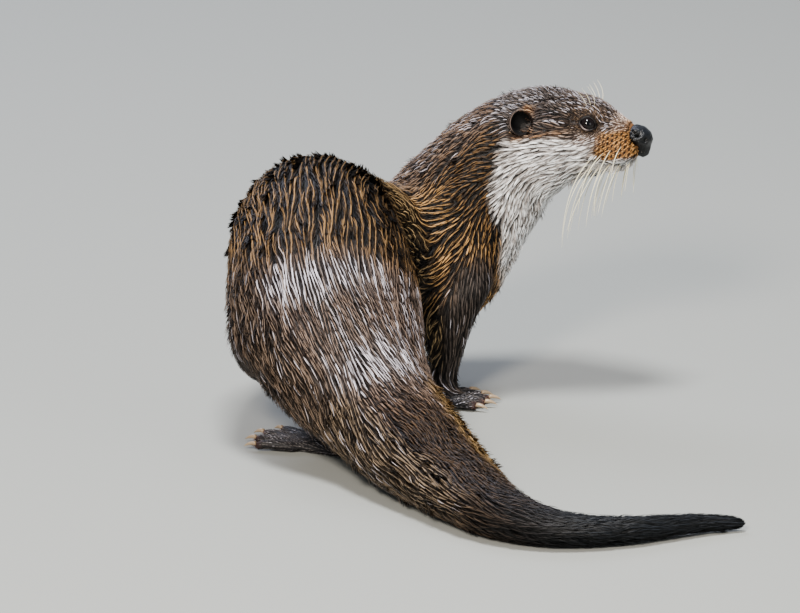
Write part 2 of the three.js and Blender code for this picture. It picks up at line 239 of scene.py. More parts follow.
def alongSpine(points, onFront):
    # for each point: how far down the body it lies, the way the body runs there, and its side of it
    along = np.zeros(len(points))
    tangent, radial, up = (np.zeros((len(points), 3)) for _ in range(3))
    for data, chosen in ((frontLine, onFront), (rearLine, ~onFront)):
        index = np.flatnonzero(chosen)
        for start in range(0, len(index), 20000):
            part = index[start : start + 20000]
            gap = ((points[part, None] - data["line"][None]) ** 2).sum(-1)
            near = gap.argmin(1)
            along[part] = data["along"][near]
            tangent[part] = data["tangent"][near]
            up[part] = data["up"][near]
            radial[part] = points[part] - data["line"][near]
    radial = unit(radial - tangent * dot(radial, tangent)[:, None])
    back = dot(radial, unit(up - tangent * dot(up, tangent)[:, None]))  # 1 on the back, -1 on the belly
    side = dot(radial, np.cross(up, tangent))  # above 0 on its right
    return along, tangent, back, side


# skin: every flesh solid under one surface, drawn in by the coat's depth
skin = {
    "overlap": 0.5,  # mm, closes the parting gaps
    "voxel": 1.75,
    "rounding": 34,  # passes that take the facets out of the body
    "feetRounding": 7,
    "gentle": 0.93,  # how much less the face and feet are rounded
    "eyeFiller": 0.9,  # mm past the eye
    "noseFiller": 0.6,  # share of the nose's size
    "finerRound": (11.5, 8.6),  # mm round each eye, one cut for each
    "nodes": ["head", "neck", "chest", "trunk", "hindquarters", "tail_root", "tail_middle", "tail_tip"]
    + [f"{limb}_{side}" for limb in ("foreleg", "forefoot", "hindleg", "hindfoot") for side in ("right", "left")],
    "coatDepth": {
        "head": 1.6, "neck": 3.4, "chest": 3.6, "trunk": 4.2, "hindquarters": 4.2, "tail_root": 3.8,
        "tail_middle": 3.2, "tail_tip": 2.2, "foreleg": 2.4, "hindleg": 3, "forefoot": 0.5, "hindfoot": 0.5,
    },
}


def gatherFlesh():
    points, tris, owner, count = [], [], [], 0
    for number, name in enumerate(skin["nodes"]):
        p, t = nodePoints(name)
        points.append(p + cornerNormals(p, t) * skin["overlap"])
        tris.append(t + count)
        owner.append(np.full(len(t), number))
        count += len(p)
    return np.vstack(points), np.vstack(tris), np.concatenate(owner)


def sphereMesh(middle, radius, rings=24):  # to fill the sockets while the skin is made
    bm = bmesh.new()
    bmesh.ops.create_uvsphere(bm, u_segments=2 * rings, v_segments=rings, radius=radius)
    bmesh.ops.triangulate(bm, faces=bm.faces)
    points = np.array([v.co for v in bm.verts]) + middle
    tris = np.array([[v.index for v in f.verts] for f in bm.faces])
    bm.free()
    return points, tris


def remesh(points, tris, voxel):
    ob = addObject("shell", meshFrom("shell", points, tris))
    mod = ob.modifiers.new("shell", "REMESH")
    mod.mode, mod.voxel_size = "VOXEL", voxel / 1000
    made = bpy.data.meshes.new_from_object(ob.evaluated_get(bpy.context.evaluated_depsgraph_get()))
    bpy.data.objects.remove(ob)
    return made


def refine(me, chosen):  # cuts the faces whose corners are all chosen into four
    bm = bmesh.new()
    bm.from_mesh(me)
    edges = [e for e in bm.edges if chosen[e.verts[0].index] and chosen[e.verts[1].index]]
    bmesh.ops.subdivide_edges(bm, edges=edges, cuts=1, use_grid_fill=True)
    bmesh.ops.triangulate(bm, faces=[f for f in bm.faces if len(f.verts) > 4])
    bm.to_mesh(me)
    bm.free()


class Neighbours:  # averages a value over the points round each point
    def __init__(self, edges, count):
        both = np.vstack([edges, edges[:, ::-1]])
        both = both[np.argsort(both[:, 0], kind="stable")]
        self.other = both[:, 1]
        self.number = np.bincount(both[:, 0], minlength=count)
        self.start = np.concatenate([[0], np.cumsum(self.number)[:-1]])

    def mean(self, values):
        return np.add.reduceat(values[self.other], self.start, axis=0) / self.number.reshape(
            (-1,) + (1,) * (values.ndim - 1)
        )

    def blur(self, values, passes, share=0.6):
        share = np.asarray(share)
        if share.ndim and values.ndim > 1:
            share = share[:, None]
        for _ in range(passes):
            values = values + (self.mean(values) - values) * share
        return values


fleshPoints, fleshTris, fleshOwner = gatherFlesh()
fleshTree = BVHTree.FromPolygons(fleshPoints.tolist(), fleshTris.tolist())
fillers = [sphereMesh(middle, head["eyeRadius"] + skin["eyeFiller"]) for middle in eyeMiddles]
nosePoints, noseTris = nodePoints("nose")
noseMiddle = nosePoints.mean(0)
fillers.append((noseMiddle + (nosePoints - noseMiddle) * skin["noseFiller"], noseTris))
bridge = {"middle": (25, 0, -5.6), "half": (10.5, 8.5, 6.6), "pitch": 29}  # raises the muzzle to the top of the nose
p, t = sphereMesh(np.zeros(3), 1)
bridgeTurn = np.array(Matrix.Rotation(math.radians(bridge["pitch"]), 3, "Y"))
fillers.append((fromHead(p * bridge["half"] @ bridgeTurn.T + bridge["middle"]), t))
shellPoints, shellTris = [fleshPoints], [fleshTris]
for p, t in fillers:
    shellTris.append(t + sum(len(one) for one in shellPoints))
    shellPoints.append(p)
skinMesh = remesh(np.vstack(shellPoints), np.vstack(shellTris), skin["voxel"])
print("skin remeshed:", len(skinMesh.vertices), "points")


def owners(points):  # the flesh node that each point belongs to
    found = [fleshTree.find_nearest(p)[2] for p in points.tolist()]
    return fleshOwner[np.array(found)]


def chosenFor(starts):  # the skin of the nodes whose names start so
    return np.isin(owner, [i for i, name in enumerate(skin["nodes"]) if name.startswith(starts)])


def eyeDistance(points):
    return np.minimum(*(np.linalg.norm(points - middle, axis=1) for middle in eyeMiddles))


points, tris, edges = readMesh(skinMesh)
owner = owners(points)
around = Neighbours(edges, len(points))
local = toHead(points)
onFeet = around.blur(chosenFor(("forefoot", "hindfoot")).astype(float), 3)
onHead = around.blur(chosenFor("head").astype(float), 4)
gentle = np.clip(np.maximum(onFeet, onHead * smooth(local[:, 0], -45, -5)), 0, 1)
points = around.blur(points, skin["feetRounding"], 0.6)
points = around.blur(points, skin["rounding"] - skin["feetRounding"], 0.6 * (1 - skin["gentle"] * gentle))
movePoints(skinMesh, points)

# finer faces where the face, feet and eyelids need them
local = toHead(points)
refine(skinMesh, ((local[:, 0] > -20) & (onHead > 0.3)) | (onFeet > 0.4))
for reach in skin["finerRound"]:
    refine(skinMesh, eyeDistance(readMesh(skinMesh)[0]) < reach)
points, tris, edges = readMesh(skinMesh)
around = Neighbours(edges, len(points))
points = around.blur(points, 2, 0.5)
owner = owners(points)
print("skin refined:", len(points), "points,", len(tris), "triangles")

depthOf = np.array([
    depth for node in skin["nodes"] for name, depth in skin["coatDepth"].items() if node.startswith(name)
])
local = toHead(points)
crownDepth = 0.7 + 2.6 * smooth(-local[:, 0], -24, 45)  # short on the muzzle, longer towards the nape
coatDepth = np.where(chosenFor("head"), crownDepth, depthOf[owner])
coatDepth = around.blur(coatDepth, 40, 0.7)
isFoot = chosenFor(("forefoot", "hindfoot"))
coatDepth = around.blur(np.where(isFoot, np.minimum(coatDepth, 0.9), coatDepth), 4, 0.6)
normals = cornerNormals(points, tris)
normals = unit(around.blur(normals, 6, 0.6))
points = points - normals * (coatDepth + skin["overlap"])[:, None]
points[:, 2] = np.maximum(points[:, 2], 0.25 + 0.1 * coatDepth)


# the face: lids, brow, cheeks and lips, in the head's frame
face = {
    "lidThick": 0.75, "lidDepth": 1.9, "opening": (5.6, 4.9), "lidReach": 5.2, "lidZone": 14,
    "gaze": (0.3, 0.9, 0.26),  # forward, outward, up
    "frontCorner": 2.3, "rearCorner": 1.5, "cornerWidth": 0.3,
    "mouthDeep": 1.5, "lipFull": 0.7,
    "lidRim": "#0d0a0a", "lidGleam": "#a38f88",
}
# middle, reach and height (mm) of each swelling, or hollow where below zero, on both sides of the face
faceForms = {
    "brow": ((3, 21, 9), 8, 1.3),
    "browRear": ((-9, 24, 8), 8, 0.8),
    "belowEye": ((-3, 27, -14), 8, 1.2),
    "cheek": ((-22, 35, -16), 13, 1.2),
    "tearHollow": ((11.5, 17.5, -3), 5.5, -1.1),
    "temple": ((-20, 31, 2), 9, -1.0),
    "padTop": ((22, 13, -14), 6.5, 0.9),
    "padFront": ((30, 9, -20), 5, 0.7),
    "bridge": ((21, 0, 1), 6, -0.7),
}


def lidFrame(side):  # middle of the eye, gaze, and the ways forward and up across it
    middle = mirrored((head["eyeForward"], head["eyeOut"], head["eyeDrop"]), side)
    gaze = unit(mirrored(face["gaze"], side))
    forward = unit(np.array([1.0, 0, -0.12]) - gaze * dot(np.array([1.0, 0, -0.12]), gaze))
    up = np.cross(forward, gaze) * (-side)
    return middle, gaze, forward, up if up[2] > 0 else -up


def lidPlace(local, side):  # distance from the eye's middle, and how far outside the opening's edge
    middle, gaze, forward, up = lidFrame(side)
    away = local - middle
    radius = np.linalg.norm(away, axis=1)
    ray = unit(away)
    angle = np.arccos(np.clip(dot(ray, gaze), -1, 1))
    turn = np.arctan2(dot(ray, up), dot(ray, forward))
    wide, high = face["opening"]
    rim = wide * high / np.hypot(high * np.cos(turn), wide * np.sin(turn))
    rim = rim + face["frontCorner"] * bell(turn, -0.12, face["cornerWidth"])
    rim = rim + face["rearCorner"] * bell(np.abs(turn), math.pi, face["cornerWidth"])
    return radius, ray, angle * head["eyeRadius"] - rim, turn


def overEye(radius, ray, side):  # where an eye and its lids lie
    return (radius < face["lidZone"]) & (dot(ray, lidFrame(side)[1]) > 0)


def sculptFace(points, normals):
    local = toHead(points)
    turned = normals @ headTurn
    for middle, reach, height in faceForms.values():
        for side in (1, -1):
            gap = np.linalg.norm(local - mirrored(middle, side), axis=1)
            local = local + turned * (height * np.exp(-((gap / reach) ** 2)))[:, None]
    # the mouth's line: under the pad from the lip's middle back to the corner of the mouth
    lipX = np.clip(local[:, 0], 2, 33)
    lipZ = -27.3 - 3.2 * smooth(33 - lipX, 0, 14) + 2.6 * smooth(33 - lipX, 17, 31)
    inRange = band(local[:, 0], -1, 5, 33, 37)
    groove = bell(local[:, 2] - lipZ, 0, 1.5) * inRange * smooth(np.abs(local[:, 1]), 3, 7)
    local = local - turned * (face["mouthDeep"] * groove)[:, None]
    overhang = bell(local[:, 2] - lipZ, 2.6, 2.2) * inRange
    local = local + turned * (face["lipFull"] * overhang)[:, None]
    # a parting under the nose
    parting = bell(local[:, 1], 0, 1.3) * smooth(local[:, 0], 26, 33) * (1 - smooth(local[:, 2], -21, -16))
    local = local - turned * parting[:, None]
    # lids over each eye
    for side in (1, -1):
        radius, ray, outside, _ = lidPlace(local, side)
        near = (radius < 17) & (dot(ray, lidFrame(side)[1]) > -0.1)
        lid = head["eyeRadius"] + face["lidThick"] - 0.35 * bell(outside, 2.2, 0.5) + 0.25 * bell(outside, 1.0, 0.8)
        target = mix(lid, radius, smooth(outside, 0.6, face["lidReach"]))
        target = mix(head["eyeRadius"] - face["lidDepth"], target, smooth(outside, -0.75, 0.1))
        middle = lidFrame(side)[0]
        local = np.where(near[:, None], middle + ray * target[:, None], local)
    return fromHead(local)


points = sculptFace(points, normals)
normals = cornerNormals(points, tris)
movePoints(skinMesh, points)
print("face sculpted")


# lay of the coat: from the nose back over the body, down the limbs, out round the eyes
local = toHead(points)
isHead, isNeck, isChest = (chosenFor(name) for name in ("head", "neck", "chest"))
isForeleg, isLeg = chosenFor("foreleg"), chosenFor(("foreleg", "hindleg"))
along, tangent, back, side = alongSpine(points, chosenFor(("head", "neck", "chest", "foreleg", "forefoot")))
headward = smooth(-local[:, 0], 8, 55)  # 0 on the face, 1 where the neck takes over
along = np.where(isHead, np.minimum(along, 34 - local[:, 0]), along)

fromNose = local - np.array([31, 0, -9])
fromNose[:, 2] *= 0.8
faceWay = unit(fromNose) @ headTurn.T
for s, middle in zip((-1, 1), eyeMiddles):
    away = points - middle
    gap = np.linalg.norm(away, axis=1)
    faceWay = faceWay + unit(away) * (1.1 * bell(gap, 6, 5.5))[:, None]
lay = np.where(isHead[:, None], mix(unit(faceWay), tangent, 0.85 * headward), tangent)


def limbWay(limb):  # down the leg to the foot, then out to the toes
    p, _ = nodePoints(limb.replace("leg", "foot"))
    toes = np.mean([nodePoints(f"{limb.replace('leg', 'claw')}_{i}")[0].mean(0) for i in range(1, 6)], axis=0)
    heel = p[np.linalg.norm(p - toes, axis=1).argmax()]
    upper = nodePoints(limb)[0]
    down = unit(p.mean(0) * [1, 1, 0] + [0, 0, 8] - upper.mean(0))
    return down, unit((toes - heel) * [1, 1, 0.3])


for limb in ("foreleg_right", "foreleg_left", "hindleg_right", "hindleg_left"):
    down, out = limbWay(limb)
    onLeg, onFoot = chosenFor(limb), chosenFor(limb.replace("leg", "foot"))
    lay[onLeg] = unit(down + 0.45 * tangent[onLeg])
    lay[onFoot] = out

# on the neck the hair turns level at its side and hangs at the throat; at the root of the tail it fans down
rearAlong = along - rearLine["along"][0]  # from the withers on
isRear = ~(isHead | isNeck | isChest | isLeg | isFoot)
turn = band(along, 55, 85, 140, 175) * (isHead | isNeck | isChest)
lay = lay + (0.5 * turn * bell(back, 0.4, 0.35))[:, None] * np.array([0, 0, 1.0])
lay = lay + (1.1 * turn * smooth(-back, 0, 0.6))[:, None] * np.array([0.4, 0, -1.0])
fan = isRear * bell(rearAlong, 290, 45) * smooth(-side, 0.15, 0.75)
lay = lay + (0.55 * fan)[:, None] * np.array([0, 0, -1.0])
lay = lay - normals * dot(lay, normals)[:, None]
for _ in range(36):
    lay = unit(mix(lay, around.mean(lay), 0.7))
lay = unit(lay - normals * dot(lay, normals)[:, None])
across = np.cross(normals, lay)
print("lay of the coat set")

# zones of the coat, each a share from 0 to 1 at every point
# x, y and z are in the head's frame, `along` is how far down the body a point lies, `rearAlong` the same from the
# withers on, `back` is 1 on the back and -1 on the belly, and `side` is 1 on its right and -1 on its left
x, y, z = local.T
shareOf = {
    names: around.blur(chosenFor(names).astype(float), passes)
    for names, passes in (
        (("foreleg", "hindleg"), 14), (("forefoot", "hindfoot"), 6), ("head", 10), ("trunk", 25), ("hindquarters", 25),
        ("tail", 25), (("neck", "chest"), 14),
    )
}
legShare, footShare, headShare, trunkShare, rumpShare, tailShare, neckShare = shareOf.values()
outward = np.abs(y)
zones = {}
muzzleTop = -9 + 0.12 * x
lipTop = np.interp(x, [4, 12, 20, 30], [-24.5, -27.5, -28, -24])
aboveLip = smooth(z, lipTop - 2, lipTop + 1.5)
zones["muzzle"] = headShare * smooth(x, 5, 12) * (1 - smooth(z, muzzleTop - 2.5, muzzleTop + 2.5)) * aboveLip
zones["muzzle"] = np.maximum(zones["muzzle"], headShare * smooth(x, 24, 30) * aboveLip)
zones["bridge"] = headShare * smooth(x, 16, 22) * smooth(z, -9, -5)
gap = np.hypot((x + 27 + 0.25 * (z - 4)) / 12, (z - 4 + 0.12 * (x + 27)) / 3.6)
zones["temple"] = headShare * (1 - smooth(gap, 0.5, 1.1)) * smooth(outward, 16, 22)
zones["earTuft"] = headShare * np.maximum(
    bell(np.hypot(x + 39, z - 6), 0, 3.6), bell(np.hypot((x + 46) / 1.7, z + 12.5), 0, 3)
) * smooth(outward, 24, 30)
zones["underEye"] = headShare * bell(np.hypot((x + 1) * 0.85, (z + 11.5) * 1.3), 0, 7) * smooth(outward, 14, 19)
zones["tanLine"] = 0.75 * headShare * bell(z, -10.3, 2.4) * band(-x, 8, 14, 36, 50) * smooth(outward, 18, 26)
zones["lip"] = headShare * smooth(x, 2, 9) * (1 - aboveLip)
# cream cheeks, throat and jaw: below a line from the mouth's corner under the ear, then down the neck
creamTop = np.interp(x, [-75, -52, -17, 4], [-25, -12.8, -11.4, -13])
creamHead = (1 - smooth(z, creamTop - 3, creamTop + 2.5)) * (1 - smooth(x, 2, 9))
creamEdge = np.interp(along, [60, 85, 106, 133, 157, 190], [0.46, 0.34, 0.08, -0.54, -0.84, -1.15])
creamNeck = 1 - smooth(back, creamEdge - 0.14, creamEdge + 0.1)
zones["cream"] = np.clip(mix(creamNeck * neckShare, creamHead, headShare) * (1 - legShare), 0, 1)
zones["lid"] = np.zeros(len(points))
for s in (1, -1):
    radius, ray, outside, turn = lidPlace(local, s)
    near = overEye(radius, ray, s)
    corner = bell(z, head["eyeDrop"] + 0.6 - 0.08 * np.abs(x), 1.5) * band(np.abs(x), 5, 8, 13, 19)
    zones["lid"] = np.maximum(zones["lid"], near * np.maximum(band(outside, -1, 0.4, 1.6, 4.2), 0.9 * corner))
zones["crown"] = headShare * smooth(back, 0.1, 0.6) * (1 - smooth(along, 150, 215))
zones["nape"] = neckShare * smooth(back, 0.68, 0.94) * (1 - smooth(along, 190, 235))
zones["neckSide"] = neckShare * (1 - zones["nape"])
zones["neckLow"] = zones["neckSide"] * smooth(along, 122, 150)
body = np.clip(trunkShare + rumpShare + tailShare, 0, 1)
zones["flank"] = trunkShare * (1 - smooth(rearAlong, 35, 105)) * smooth(side, -0.2, 0.35)
zones["hump"] = body * (1 - zones["flank"]) * (1 - smooth(rearAlong, 150, 195))
zones["rump"] = body * band(rearAlong, 165, 205, 290, 360)
sheen = bell(rearAlong, 189, 14) * smooth(side, -0.88, -0.6) * (1 - 0.8 * smooth(side, 0.4, 0.85))
sheen = sheen + bell(rearAlong, 267, 18) * band(side, -0.9, -0.45, 0.45, 0.85)
zones["sheen"] = body * np.clip(sheen * 1.2, 0, 1) * smooth(back, -0.1, 0.3)
zones["tail"] = body * smooth(rearAlong, 290, 360)
# painted shade: the end of the tail is coloured near black and bluish, as it lies in shadow
zones["tailEndShade"] = body * smooth(rearAlong, 410, 530)
zones["sides"] = body * smooth(-side, 0.55, 0.95) * band(rearAlong, 120, 180, 300, 380)
zones["belly"] = body * (1 - smooth(back, -0.8, -0.3)) * (1 - smooth(rearAlong, 300, 360))
# painted shade: the top of the hump and the folded right flank ahead of it are coloured darker, with duller crests
shadeRight = smooth(side, 0.5, 0.85) * (1 - smooth(rearAlong, 140, 172))
zones["humpShade"] = zones["hump"] * np.maximum(0.9 * (1 - smooth(rearAlong, 88, 128)), 0.8 * shadeRight)
zones["tailGold"] = body * smooth(side, 0.62, 0.9) * band(rearAlong, 275, 305, 385, 440)
zones["fringe"] = body * smooth(-side, 0.6, 0.88) * band(rearAlong, 255, 300, 400, 470) * smooth(back, -0.75, -0.3)
zones["leg"], zones["foot"] = legShare, footShare
rearOfLeg = (1 - smooth(points[:, 0] - poseShift[0], 27, 35)) * smooth(points[:, 2], 28, 45)
zones["legBack"] = legShare * isForeleg * rearOfLeg
paws = ("foreclaw_right", "foreclaw_left", "hindclaw_right", "hindclaw_left")
clawPoints = np.vstack([nodePoints(f"{paw}_{i}")[0] for i in range(1, 6) for paw in paws])
zones["toe"] = np.zeros(len(points))
onFoot = np.flatnonzero(isFoot)
clawGap = np.concatenate([
    np.linalg.norm(points[part, None] - clawPoints[None], axis=2).min(1) for part in np.array_split(onFoot, 40)
])
zones["toe"][onFoot] = 1 - smooth(clawGap, 3, 9)
zones["face"] = headShare * (1 - smooth(-x, 2, 26)) * (1 - 0.6 * smooth(back, 0.5, 0.9))
zones = {name: np.clip(share, 0, 1) for name, share in zones.items()}

# Each zone's locks. In mm: `long` and `wide` are one lock's size, `across` and `down` the spacing of the wet clumps
# that locks draw together in, and `line` how far a clump's line runs. In degrees off the lay: `wander` of a line and
# `stray` of a lock. `thick` is locks on a square mm, `pull` how far they draw in to their clump, `lift` how high they
# lean and `stand` the share of clumps that stand out. A clump has `ridges` locks on its crest, `ridgeWide` as wide as
# the others, a share of them `feeders` that come in from its side and a share `paintedSheen` whose crests take a
# painted highlight, near-white, for the wet coat's gloss. `dark` is the colour in the gaps and at the root, `fur` of
# most locks, and `bright` of the crest.
coatKeys = (
    "feeders", "line", "wander", "thick", "long", "wide", "across", "down", "pull", "stray", "lift", "ridges",
    "ridgeWide", "paintedSheen", "stand", "dark", "fur", "bright",
)
coat = {
    "body": (0.2, 40, 7, 0.4, 15, 1.2, 3.4, 11, 0.75, 6, 0.85, 2, 0.6, 0.1, 0.02, "#0b0806", "#1f150e", "#77593d"),
    "neckSide": (0.3, 4, 12, 0.5, 6.5, 1.1, 2.7, 4, 0.8, 9, 0.85, 1.35, 0.58, 0.03, 0.03,
        "#040302", "#0b0705", "#6b4d29"),
    "nape": (0.2, 5, 10, 0.6, 7, 1.1, 2.3, 5, 0.7, 10, 0.85, 2.2, 0.62, 0.27, 0.03, "#070605", "#17110d", "#6f5845"),
    "crown": (0.1, 5, 16, 1.25, 4.4, 0.6, 1.5, 4, 0.55, 10, 0.85, 2, 0.7, 0.42, 0.02, "#090808", "#1a1614", "#62564f"),
    "face": (0.1, 6, 14, 1.1, 4, 0.6, 1.5, 3.6, 0.5, 10, 0.85, 2, 0.8, 0.42, 0.01, "#120d0b", "#2c221d", "#7a6656"),
    "cream": (0.25, 9, 9, 0.7, 8.5, 1.15, 2.4, 6, 0.8, 6, 0.85, 2.5, 0.75, 0, 0.04, "#0c0c12", "#b8b0ab", "#ffffff"),
    "muzzle": (0, 2.5, 8, 1.5, 2, 0.62, 1.3, 1.8, 0.2, 4, 0.85, 1.2, 0.8, 0, 0.02, "#2a1a0e", "#8c5d30", "#cf9a5c"),
    "lip": (0, 3, 14, 2, 6, 0.55, 1.3, 2.6, 0.35, 16, 1.6, 3, 0.8, 0, 0.3, "#14100d", "#54483f", "#ffffff"),
    "underEye": (0.2, 6, 10, 1.4, 3.6, 0.6, 1.6, 3, 0.45, 8, 0.85, 2, 0.8, 0, 0.01, "#33261f", "#8c766a", "#e6dad4"),
    "tanLine": (0.2, 8, 10, 1.2, 5, 0.7, 1.8, 4, 0.5, 8, 0.85, 2, 0.8, 0, 0.01, "#190f08", "#472f1a", "#a3754a"),
    "lid": (0, 4, 6, 1.9, 2.2, 0.45, 1.2, 2.2, 0.3, 6, 0.7, 1, 0.8, 0, 0, "#110a07", "#2d2119", "#6c5743"),
    "flank": (0.4, 4, 30, 0.45, 6.5, 1.4, 3.2, 4.5, 0.8, 32, 0.9, 1.2, 0.55, 0.06, 0.05,
        "#050403", "#0c0907", "#a0855c"),
    "hump": (0.2, 70, 7, 0.42, 16, 1.3, 4.2, 6, 0.9, 4, 0.75, 1.4, 0.5, 0, 0.1, "#020202", "#080605", "#82633d"),
    "rump": (0.2, 50, 5, 0.45, 11, 1, 1.85, 8, 0.7, 5, 0.8, 1.8, 0.5, 0.28, 0.01, "#0a0706", "#221a16", "#786457"),
    "sheen": (0.15, 50, 5, 0.5, 14, 1.15, 2.3, 7, 0.75, 3, 0.85, 1.8, 0.56, 0.7, 0, "#0c0909", "#2b2422", "#7d7069"),
    "fringe": (0.2, 26, 5, 0.55, 15, 1.15, 2.3, 8, 0.7, 4, 1, 1.6, 0.5, 0.22, 0.12, "#050403", "#1a140f", "#7f6d58"),
    "tailGold": (0.2, 26, 6, 0.55, 13, 0.95, 2.1, 7, 0.8, 5, 1, 2, 0.55, 0.05, 0.22, "#0b0704", "#35230f", "#a0804f"),
    "temple": (0.1, 9, 10, 1.4, 6, 0.6, 1.9, 4, 0.6, 6, 0.85, 0.9, 0.7, 0.22, 0, "#060504", "#15100e", "#5c4d45"),
    "bridge": (0, 3, 8, 1.6, 2.6, 0.55, 1.4, 2.2, 0.4, 8, 0.85, 1.6, 0.8, 0.1, 0, "#2f1f16", "#7a6253", "#f0d6c3"),
    "earTuft": (0.2, 4, 10, 1.6, 4.5, 0.6, 1.6, 3, 0.5, 10, 1.3, 2, 0.8, 0, 0.1, "#22130a", "#6a4830", "#c39a70"),
    "toe": (0, 3, 8, 1, 2.2, 0.5, 1.6, 2.4, 0.3, 8, 0.8, 0.8, 0.7, 0, 0, "#160d0b", "#3a2420", "#7a5246"),
    "tail": (0.25, 60, 5, 0.42, 14, 1.1, 2, 9, 0.7, 5, 1, 1.6, 0.45, 0.048, 0.01, "#060403", "#130d08", "#4d3b29"),
    "tailEndShade": (0.2, 40, 6, 0.5, 11, 1, 2.4, 9, 0.65, 5, 0.8, 1, 0.55, 0.02, 0.01, "#040506", "#090b0e", "#1a1e24"),
    "sides": (0.2, 40, 6, 0.42, 14, 1.15, 2.3, 10, 0.72, 8, 0.9, 1.8, 0.6, 0.2, 0.3, "#080605", "#1c1611", "#6c5a4b"),
    "belly": (0.2, 20, 12, 0.32, 12, 1.4, 3.2, 9, 0.6, 9, 0.85, 1, 0.6, 0.1, 0.03, "#0e0a08", "#30251d", "#6c5c4e"),
    "leg": (0.2, 30, 5, 0.6, 11, 1, 2.4, 8, 0.75, 7, 0.85, 2, 0.6, 0.2, 0.02, "#070606", "#14100e", "#4d443e"),
    "foot": (0, 4, 10, 1, 2.6, 0.55, 1.7, 2.6, 0.3, 9, 0.8, 1, 0.7, 0.3, 0, "#0d0d0f", "#242225", "#7d7673"),
}
coat = {name: dict(zip(coatKeys, row)) for name, row in coat.items()}
paintedSheen = fromHex("#f3effb")  # painted highlight: the near-white that crest locks take in place of the wet coat's gloss
coat["legBack"] = coat["flank"]
# painted shade: darker fur and duller crests where the hump lies in shade
coat["humpShade"] = coat["hump"] | {"bright": "#47351f", "fur": "#050404", "stand": 0.24}
coat["neckLow"] = coat["neckSide"] | {"bright": "#b88b52", "line": 7, "long": 8, "across": 2.9}
order = (  # later ones lie over earlier ones
    "neckSide", "neckLow", "nape", "crown", "face", "temple", "tanLine", "cream", "bridge", "muzzle", "lip", "underEye",
    "earTuft", "lid", "flank", "hump", "humpShade", "rump", "tail", "tailEndShade", "sides", "sheen", "fringe", "tailGold",
    "belly", "leg", "legBack", "foot", "toe",
)


def overZones(key):
    start = coat["body"][key]
    colour = isinstance(start, str)
    value = np.tile(fromHex(start), (len(points), 1)) if colour else np.full(len(points), float(start))
    for name in order:
        own = coat[name][key]
        value = mix(value, fromHex(own) if colour else own, zones[name][:, None] if colour else zones[name])
    return value


field = {key: overZones(key) for key in coat["body"]}
spots = {"apart": 3.808, "slant": 0.5, "depth": 0.94}  # mm between rows of dark roots on the whisker pads


def spotShade(places, share):  # colour is multiplied by this, share is how far the place is on a pad
    x, _, z = np.moveaxis(toHead(places), -1, 0)
    turns = 2 * math.pi / spots["apart"]
    row, alongRow = (x - spots["slant"] * z) * turns, (z + spots["slant"] * x) * turns
    dots = smooth(np.cos(row) * np.cos(alongRow / 2), 0.0, 0.5)
    return 1 - spots["depth"] * dots * share


print("coat's zones set")


# nose shape: leather pad with comma nostrils and a groove down its middle
nose = {
    "plug": (36.6, 6.9, -12.4), "plugRadius": 3.4, "voxel": 0.45, "rounding": 10, "narrow": 0.4, "fuller": 2.5,
    "groove": 0.6, "low": "#060709", "high": "#0c1017", "hole": "#010101",
    "dents": [  # place, reach and height (mm) of the nostril's hole and tail, then of the rims round it
        ((34.8, 10.9, -9.3), (2.3, 3.2, 1.6), -3.4), ((31.6, 10, -7.6), (1.9, 3.2, 1.1), -2.2),
        ((29.4, 9, -6.4), (1.4, 3, 0.9), -1.2), ((33.4, 10.6, -6.3), (2.8, 3, 0.9), 0.8),
        ((38.0, 9.8, -11.6), (1.5, 2.6, 1.4), 0.7), ((31.2, 11, -10.4), (2.4, 3, 1.3), 0.6),
    ],
}
plugs = [sphereMesh(fromHead(mirrored(nose["plug"], s)), nose["plugRadius"]) for s in (1, -1)]
noseMesh = remesh(
    np.vstack([nosePoints] + [p for p, _ in plugs]),
    np.vstack([noseTris] + [t + len(nosePoints) + i * len(plugs[0][0]) for i, (_, t) in enumerate(plugs)]),
    nose["voxel"],
)
noseShape, noseFaces, noseEdges = readMesh(noseMesh)
aroundNose = Neighbours(noseEdges, len(noseShape))
noseShape = aroundNose.blur(noseShape, nose["rounding"], 0.6)
local, turned = toHead(noseShape), cornerNormals(noseShape, noseFaces) @ headTurn
local[:, 1] *= 1 - nose["narrow"] * smooth(-local[:, 2], 13.5, 21)
local[:, 0] += nose["fuller"] * smooth(-local[:, 2], 13, 18) * (1 - smooth(local[:, 0], 36, 44))
hollow = np.zeros(len(local))
for s in (1, -1):
    for place, reach, height in nose["dents"]:
        near = np.exp(-(((local - mirrored(place, s)) / reach) ** 2).sum(1))
        local = local + turned * (height * near)[:, None]
        hollow = hollow + near * (height < -2)
groove = bell(local[:, 1], 0, 0.8) * smooth(local[:, 0], 36, 41) * (1 - smooth(local[:, 2], -12, -7))
local = local - turned * (nose["groove"] * groove)[:, None]
noseShape = aroundNose.blur(fromHead(local), 2, 0.5)
movePoints(noseMesh, noseShape)
print("nose shaped")

ear = {
    "middle": (-46, 39.5, -1.5), "radius": 8.4, "out": (0.34, 0.93, 0.12), "sides": 48, "tall": 1.08,
    "outside": "#1d1511", "inside": "#020203", "rim": "#6f6058",
    "locks": 800, "wide": 0.55, "pale": "#a8968c", "tan": "#6a4526",
    "rows": [  # share of the radius, height along the way out (mm): up the outside, over the rim, into the bowl
        (0.86, -6.0), (0.93, -3.5), (0.99, -0.5), (1.03, 2.2), (1.045, 3.9), (1.01, 4.5), (0.965, 4.1), (0.9, 2.6),
        (0.8, 0.4), (0.64, -1.8), (0.44, -3.4), (0.22, -4.2), (0.02, -4.4),
    ],
}

